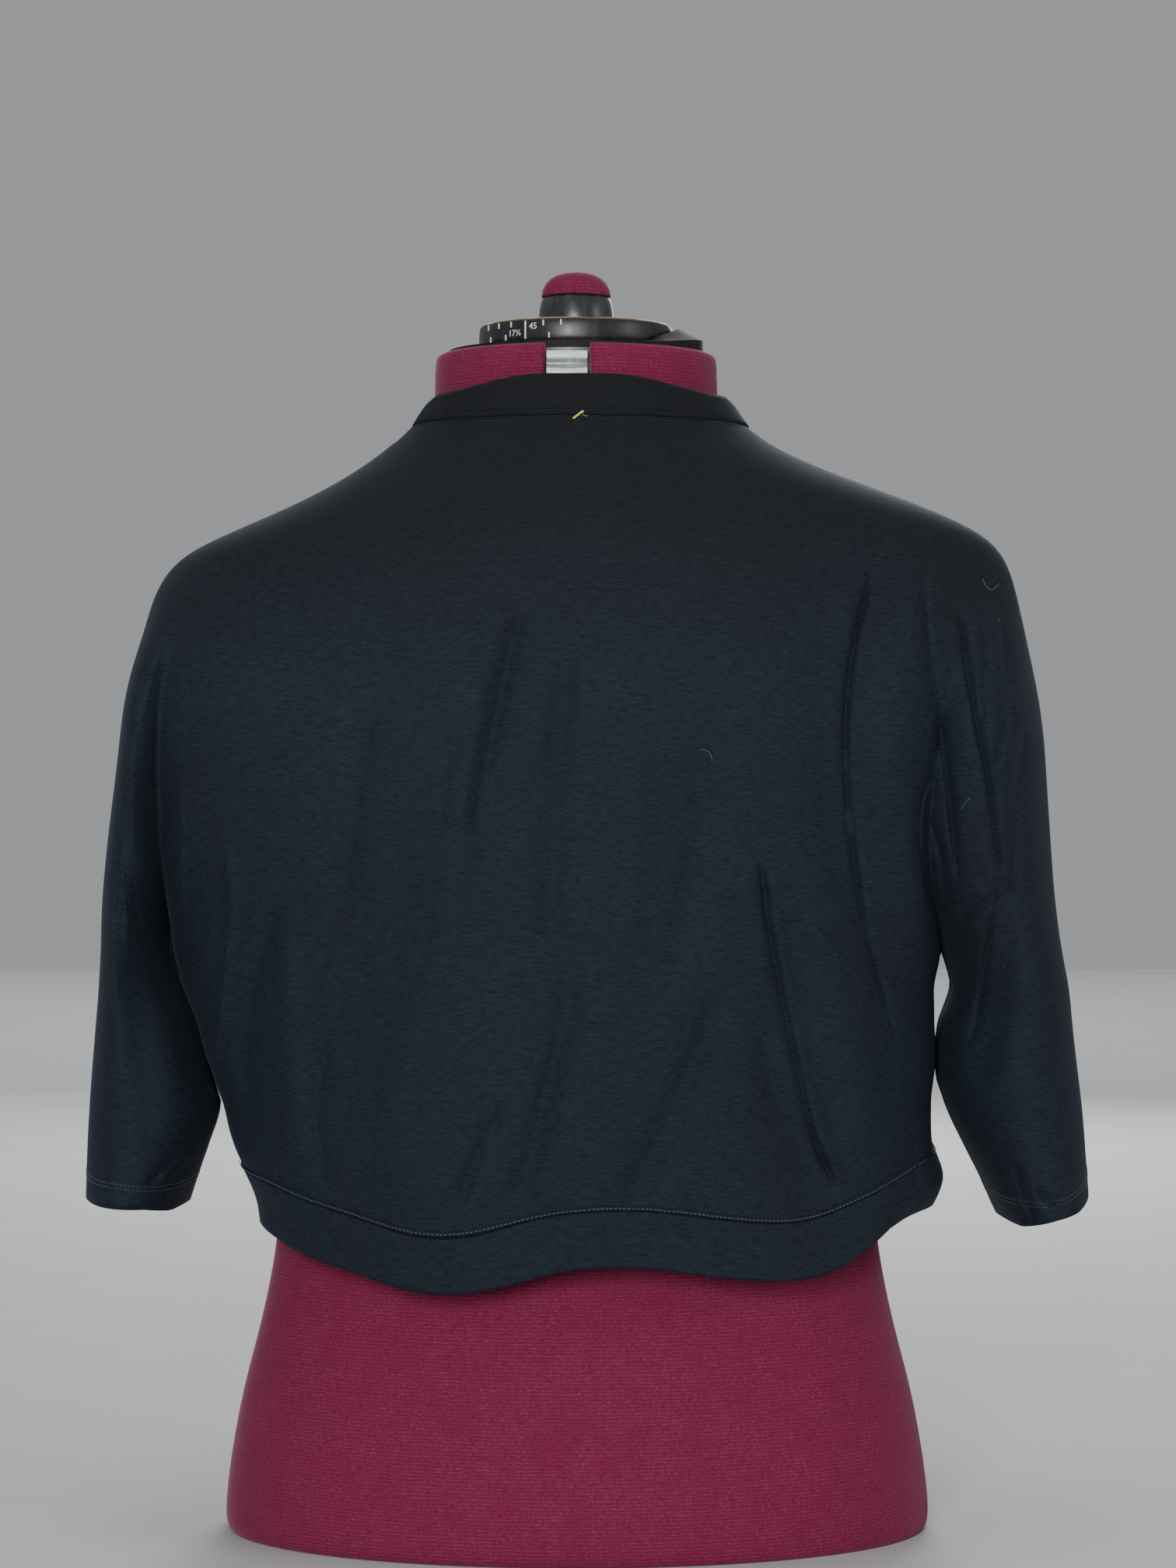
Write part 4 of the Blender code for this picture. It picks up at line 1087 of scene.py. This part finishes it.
def make_dial():
    c = colours()
    centre, radius, _, top = dial_shape()
    dark = tuple(c.plastic)
    black = plastic_material("black_plastic", dark, 0.34)
    # Painted highlight: a golden brown band along the dial's top edge stands in for the warm light the edge
    # catches.
    rim = (top - 0.0013, top - 0.0006, (0.26, 0.145, 0.055), centre, radius - 0.0024, radius - 0.0014)
    dial_with_painted_highlight = plastic_material("dial_plastic_painted_highlight", dark, 0.36, None, rim)
    ring = plastic_material("ring_plastic", (0.022, 0.023, 0.025), 0.30)
    # The cap is browner on its lip, above this height.
    patchy_and_rim_tint = (0.6085, 0.6110, (0.036, 0.023, 0.011), centre, 0.0, 0.001)
    brown = plastic_material("cap_plastic", (0.008, 0.0075, 0.007), 0.62, None, patchy_and_rim_tint)
    brown.node_tree.nodes["Principled BSDF"].inputs["Specular IOR Level"].default_value = 0.2
    white = plastic_material("milky_plastic", tuple(c.slider), 0.25, (0.80, 0.82, 0.80))
    grey = plastic_material("hollow_plastic", (0.20, 0.235, 0.215), 0.22, (0.42, 0.46, 0.43))
    smooth_plastic("neck_core", "neck_core_black", black, 50)
    smooth_plastic("neck_cap", "neck_cap_brown", brown, 60)
    smooth_plastic("neck_dial", "neck_dial_black", dial_with_painted_highlight, 50)
    smooth_plastic("knob_ring", "knob_ring_grey", ring, 50)
    make_slider(white, grey)
    make_marks()


# The marks' places across, in metres, and their widths and the half height of their band
UPPER_TICKS = (-0.0452, -0.0396, -0.0332, -0.0166, -0.0076)
LOWER_TICKS = (-0.0440, -0.0360, -0.0136)
LONG_TICK = -0.0258
TICK_WIDTH = 0.0007
LONG_TICK_WIDTH = 0.0008
MARK_BAND = 0.0046
NUMBER_SIZE = 0.0046


def make_marks():
    """Ticks and plain numbers round the dial's edge."""
    (x0, y0), radius, middle, _ = dial_shape()
    paint = paint_material()
    points, faces = [], []

    def mark(turn, z0, z1, width):
        start = len(points)
        half = width / 2 / radius
        for r in (radius - 0.0004, radius + 0.00012):
            for t, z in ((turn - half, z0), (turn + half, z0), (turn + half, z1), (turn - half, z1)):
                points.append((x0 + r * math.sin(t), y0 - r * math.cos(t), z))
        for face in ((4, 5, 6, 7), (3, 2, 1, 0), (0, 1, 5, 4), (1, 2, 6, 5), (2, 3, 7, 6), (3, 0, 4, 7)):
            faces.append(tuple(start + n for n in face))

    top, bottom = middle + MARK_BAND, middle - MARK_BAND
    tick = sizes().tick_height
    for across in UPPER_TICKS:
        mark(math.asin(across / radius), top - tick, top, TICK_WIDTH)
    for across in LOWER_TICKS:
        mark(math.asin(across / radius), bottom, bottom + tick, TICK_WIDTH)
    mark(math.asin(LONG_TICK / radius), bottom, top, LONG_TICK_WIDTH)
    made = from_parts("dial_ticks", points, faces, paint, False)
    ride(made, "pale_plastic")
    for text, across, z, name in (
        ("45", -0.0218, middle + 0.0002, "dial_number_cm"),
        ("17¾", -0.0312, middle - 0.0028, "dial_number_in"),
    ):
        bpy.ops.object.text_add(location=(0, 0, 0))
        word = bpy.context.object
        word.data.body = text
        word.data.size = NUMBER_SIZE
        word.data.align_x = "CENTER"
        word.data.extrude = 0.0001
        word.data.resolution_u = 3
        bpy.ops.object.convert(target="MESH")
        word = bpy.context.object
        word.name = name
        word.data.name = name
        flat = read_points(word.data)
        turn = math.asin(across / radius) + flat[:, 0] / radius
        reach = radius + 0.00002 + flat[:, 2]
        bent = np.stack([x0 + reach * np.sin(turn), y0 - reach * np.cos(turn), z + flat[:, 1]], axis=1)
        write_points(word.data, bent)
        word.data.materials.clear()
        word.data.materials.append(paint)
        ride(word, "pale_plastic")


# Thread end and lint


# Places as the camera sees them, in millimetres across and up, and sizes in metres
THREAD_END = ((-4.4, 569.0), (-3.4, 569.8), (-2.0, 570.8), (-0.6, 571.9), (0.8, 572.8))
THREAD_TAIL = ((0.4, 571.0), (1.7, 570.4), (3.1, 570.2))
THREAD_LIFT = 0.0007
THREAD_RISE = 0.0003
HAIRS = (
    ((206.0, 486.4), (208.0, 482.6), (210.4, 481.0), (212.6, 482.0), (214.8, 484.2)),
    ((194.8, 368.0), (197.0, 370.8), (199.6, 374.0)),
    ((61.6, 399.0), (64.4, 398.0), (66.4, 395.8), (67.0, 392.8)),
    ((214.2, 465.8), (214.6, 465.5), (214.9, 465.1)),
    ((147.8, 331.0), (148.2, 330.8), (148.6, 330.4)),
    ((217.0, 287.0), (217.3, 286.8), (217.7, 286.5)),
    ((236.1, 391.4), (236.4, 391.2), (236.7, 390.8)),
)
HAIR_LIFT = 0.0003
HAIR_RADIUS = 0.00010


def seen_point(across, up, tree, lift):
    """The point of a surface that the camera sees at millimetres across and up."""
    camera = Vector(CAMERA_PLACE)
    target = Vector((across / 1000, 0.0, up / 1000))
    way = (target - camera).normalized()
    hit = tree.ray_cast(camera, way, 3.0)[0]
    return np.array(hit - way * lift)


def make_lint():
    c, s = colours(), sizes()
    yellow = thread_material("yellow_thread", tuple(c.yellow), (0.85, 0.74, 0.10))
    pale = thread_material("pale_lint", (0.10, 0.10, 0.095), (0.22, 0.21, 0.19))
    tree = tree_of_all(("back_panel", "edge_band"))
    for name, material, radius, marks in (
        ("thread_end", yellow, s.thread_end / 2, THREAD_END),
        ("thread_tail", pale, s.thread_end / 4, THREAD_TAIL),
    ):
        line = [seen_point(x, z, tree, THREAD_LIFT + THREAD_RISE * k) for k, (x, z) in enumerate(marks)]
        points, faces = tube(rounded(line), radius, 8)
        ride(from_parts(name, points, faces, material), "band_jersey")
    points, faces = [], []
    for marks in HAIRS:
        line = [seen_point(x, z, tree, HAIR_LIFT) for x, z in marks]
        joined(points, faces, *tube(rounded(line), HAIR_RADIUS, 4))
    ride(from_parts("lint_hairs", points, faces, pale), "jersey")


# Stage


def make_stage():
    scene = bpy.context.scene
    world = bpy.data.worlds.new("studio")
    world.use_nodes = True
    sky = world.node_tree.nodes["Background"]
    sky.inputs["Color"].default_value = (0.80, 0.82, 0.85, 1)
    sky.inputs["Strength"].default_value = 0.42
    scene.world = world
    made = Nodes("pale_floor")
    grain = made.noise((9, 9, 9), 3.0, 0.5)
    pale = made.mix(made.ramp(grain, 0.3, 0.8), (0.50, 0.50, 0.50), (0.54, 0.54, 0.54))
    made.link(pale, made.shader.inputs["Base Color"])
    made.rough(grain, 0.75, 0.85)
    corners = [(-6, -6, 0), (6, -6, 0), (6, 6, 0), (-6, 6, 0)]
    floor = from_parts("floor", corners, [(0, 1, 2, 3)], made.material, False)
    for name, place, target, size, power, colour in (
        ("key", (-0.35, -2.5, 0.70), (0, 0, 0.36), 0.6, 52, (0.97, 0.99, 1.0)),
        ("side", (2.1, -0.9, 1.0), (0, 0, 0.38), 0.8, 9, (1.0, 0.98, 0.96)),
        ("top", (-0.2, -0.1, 2.2), (0, 0, 0.5), 1.0, 7, (1.0, 0.95, 0.90)),
        ("behind", (0.3, 2.4, 1.2), (0, 0, 0.4), 1.2, 30, (0.97, 0.98, 1.0)),
        ("backdrop", (0.0, 4.2, 2.6), (0, 4.2, 0.0), 3.0, 70, (0.98, 0.99, 1.0)),
    ):
        light = bpy.data.lights.new(name, "AREA")
        light.size = size
        light.energy = power
        light.color = colour
        lamp = bpy.data.objects.new(name, light)
        scene.collection.objects.link(lamp)
        lamp.location = place
        lamp.rotation_euler = (Vector(target) - Vector(place)).to_track_quat("-Z", "Y").to_euler()
    camera = bpy.data.cameras.new("camera")
    camera.lens = CAMERA_LENS
    camera.sensor_width = SENSOR
    view = bpy.data.objects.new("camera", camera)
    view.location = CAMERA_PLACE
    view.rotation_euler = (math.radians(90), 0, 0)
    scene.collection.objects.link(view)
    scene.camera = view


class SHRUG_OT_cloth(bpy.types.Operator):
    """Make the five cut pieces of jersey with their creases"""
    bl_idname = "object.shrug_cloth"
    bl_label = "Cloth"

    def execute(self, context):
        make_cloth()
        return {"FINISHED"}


class SHRUG_OT_sewing(bpy.types.Operator):
    """Make the topstitching, the seam ridges and the cuffs' stitching"""
    bl_idname = "object.shrug_sewing"
    bl_label = "Sewing"

    def execute(self, context):
        make_sewing()
        return {"FINISHED"}


class SHRUG_OT_form(bpy.types.Operator):
    """Make the knitted covers of the dress form"""
    bl_idname = "object.shrug_form"
    bl_label = "Form covers"

    def execute(self, context):
        make_form()
        return {"FINISHED"}


class SHRUG_OT_dial(bpy.types.Operator):
    """Give the neck's dial its plastics and marks"""
    bl_idname = "object.shrug_dial"
    bl_label = "Neck dial"

    def execute(self, context):
        make_dial()
        return {"FINISHED"}


class SHRUG_OT_lint(bpy.types.Operator):
    """Make the thread end at the nape and the lint"""
    bl_idname = "object.shrug_lint"
    bl_label = "Thread end and lint"

    def execute(self, context):
        make_lint()
        return {"FINISHED"}


class SHRUG_OT_stage(bpy.types.Operator):
    """Make the floor, the lights and the camera"""
    bl_idname = "object.shrug_stage"
    bl_label = "Stage"

    def execute(self, context):
        make_stage()
        return {"FINISHED"}


OPERATORS = (
    SHRUG_OT_stage, SHRUG_OT_form, SHRUG_OT_dial, SHRUG_OT_cloth, SHRUG_OT_sewing, SHRUG_OT_lint,
)


class SHRUG_PT_panel(bpy.types.Panel):
    bl_idname = "SHRUG_PT_panel"
    bl_label = "Shrug"
    bl_space_type = "VIEW_3D"
    bl_region_type = "UI"
    bl_category = "Shrug"

    def draw(self, context):
        for group in (context.scene.shrug_sizes, context.scene.shrug_colours):
            for name in group.bl_rna.properties.keys():
                if name not in ("rna_type", "name"):
                    self.layout.prop(group, name)
        for operator in OPERATORS:
            self.layout.operator(operator.bl_idname)


CLASSES = (ShrugSizes, ShrugColours, *OPERATORS, SHRUG_PT_panel)


def register():
    for cls in CLASSES:
        bpy.utils.register_class(cls)
    bpy.types.Scene.shrug_sizes = bpy.props.PointerProperty(type=ShrugSizes)
    bpy.types.Scene.shrug_colours = bpy.props.PointerProperty(type=ShrugColours)


def unregister():
    del bpy.types.Scene.shrug_colours
    del bpy.types.Scene.shrug_sizes
    for cls in reversed(CLASSES):
        bpy.utils.unregister_class(cls)


def main():
    register()
    bpy.ops.object.shrug_stage()
    bpy.ops.object.shrug_form()
    bpy.ops.object.shrug_dial()
    bpy.ops.object.shrug_cloth()
    bpy.ops.object.shrug_sewing()
    bpy.ops.object.shrug_lint()


if __name__ == "__main__":
    main()
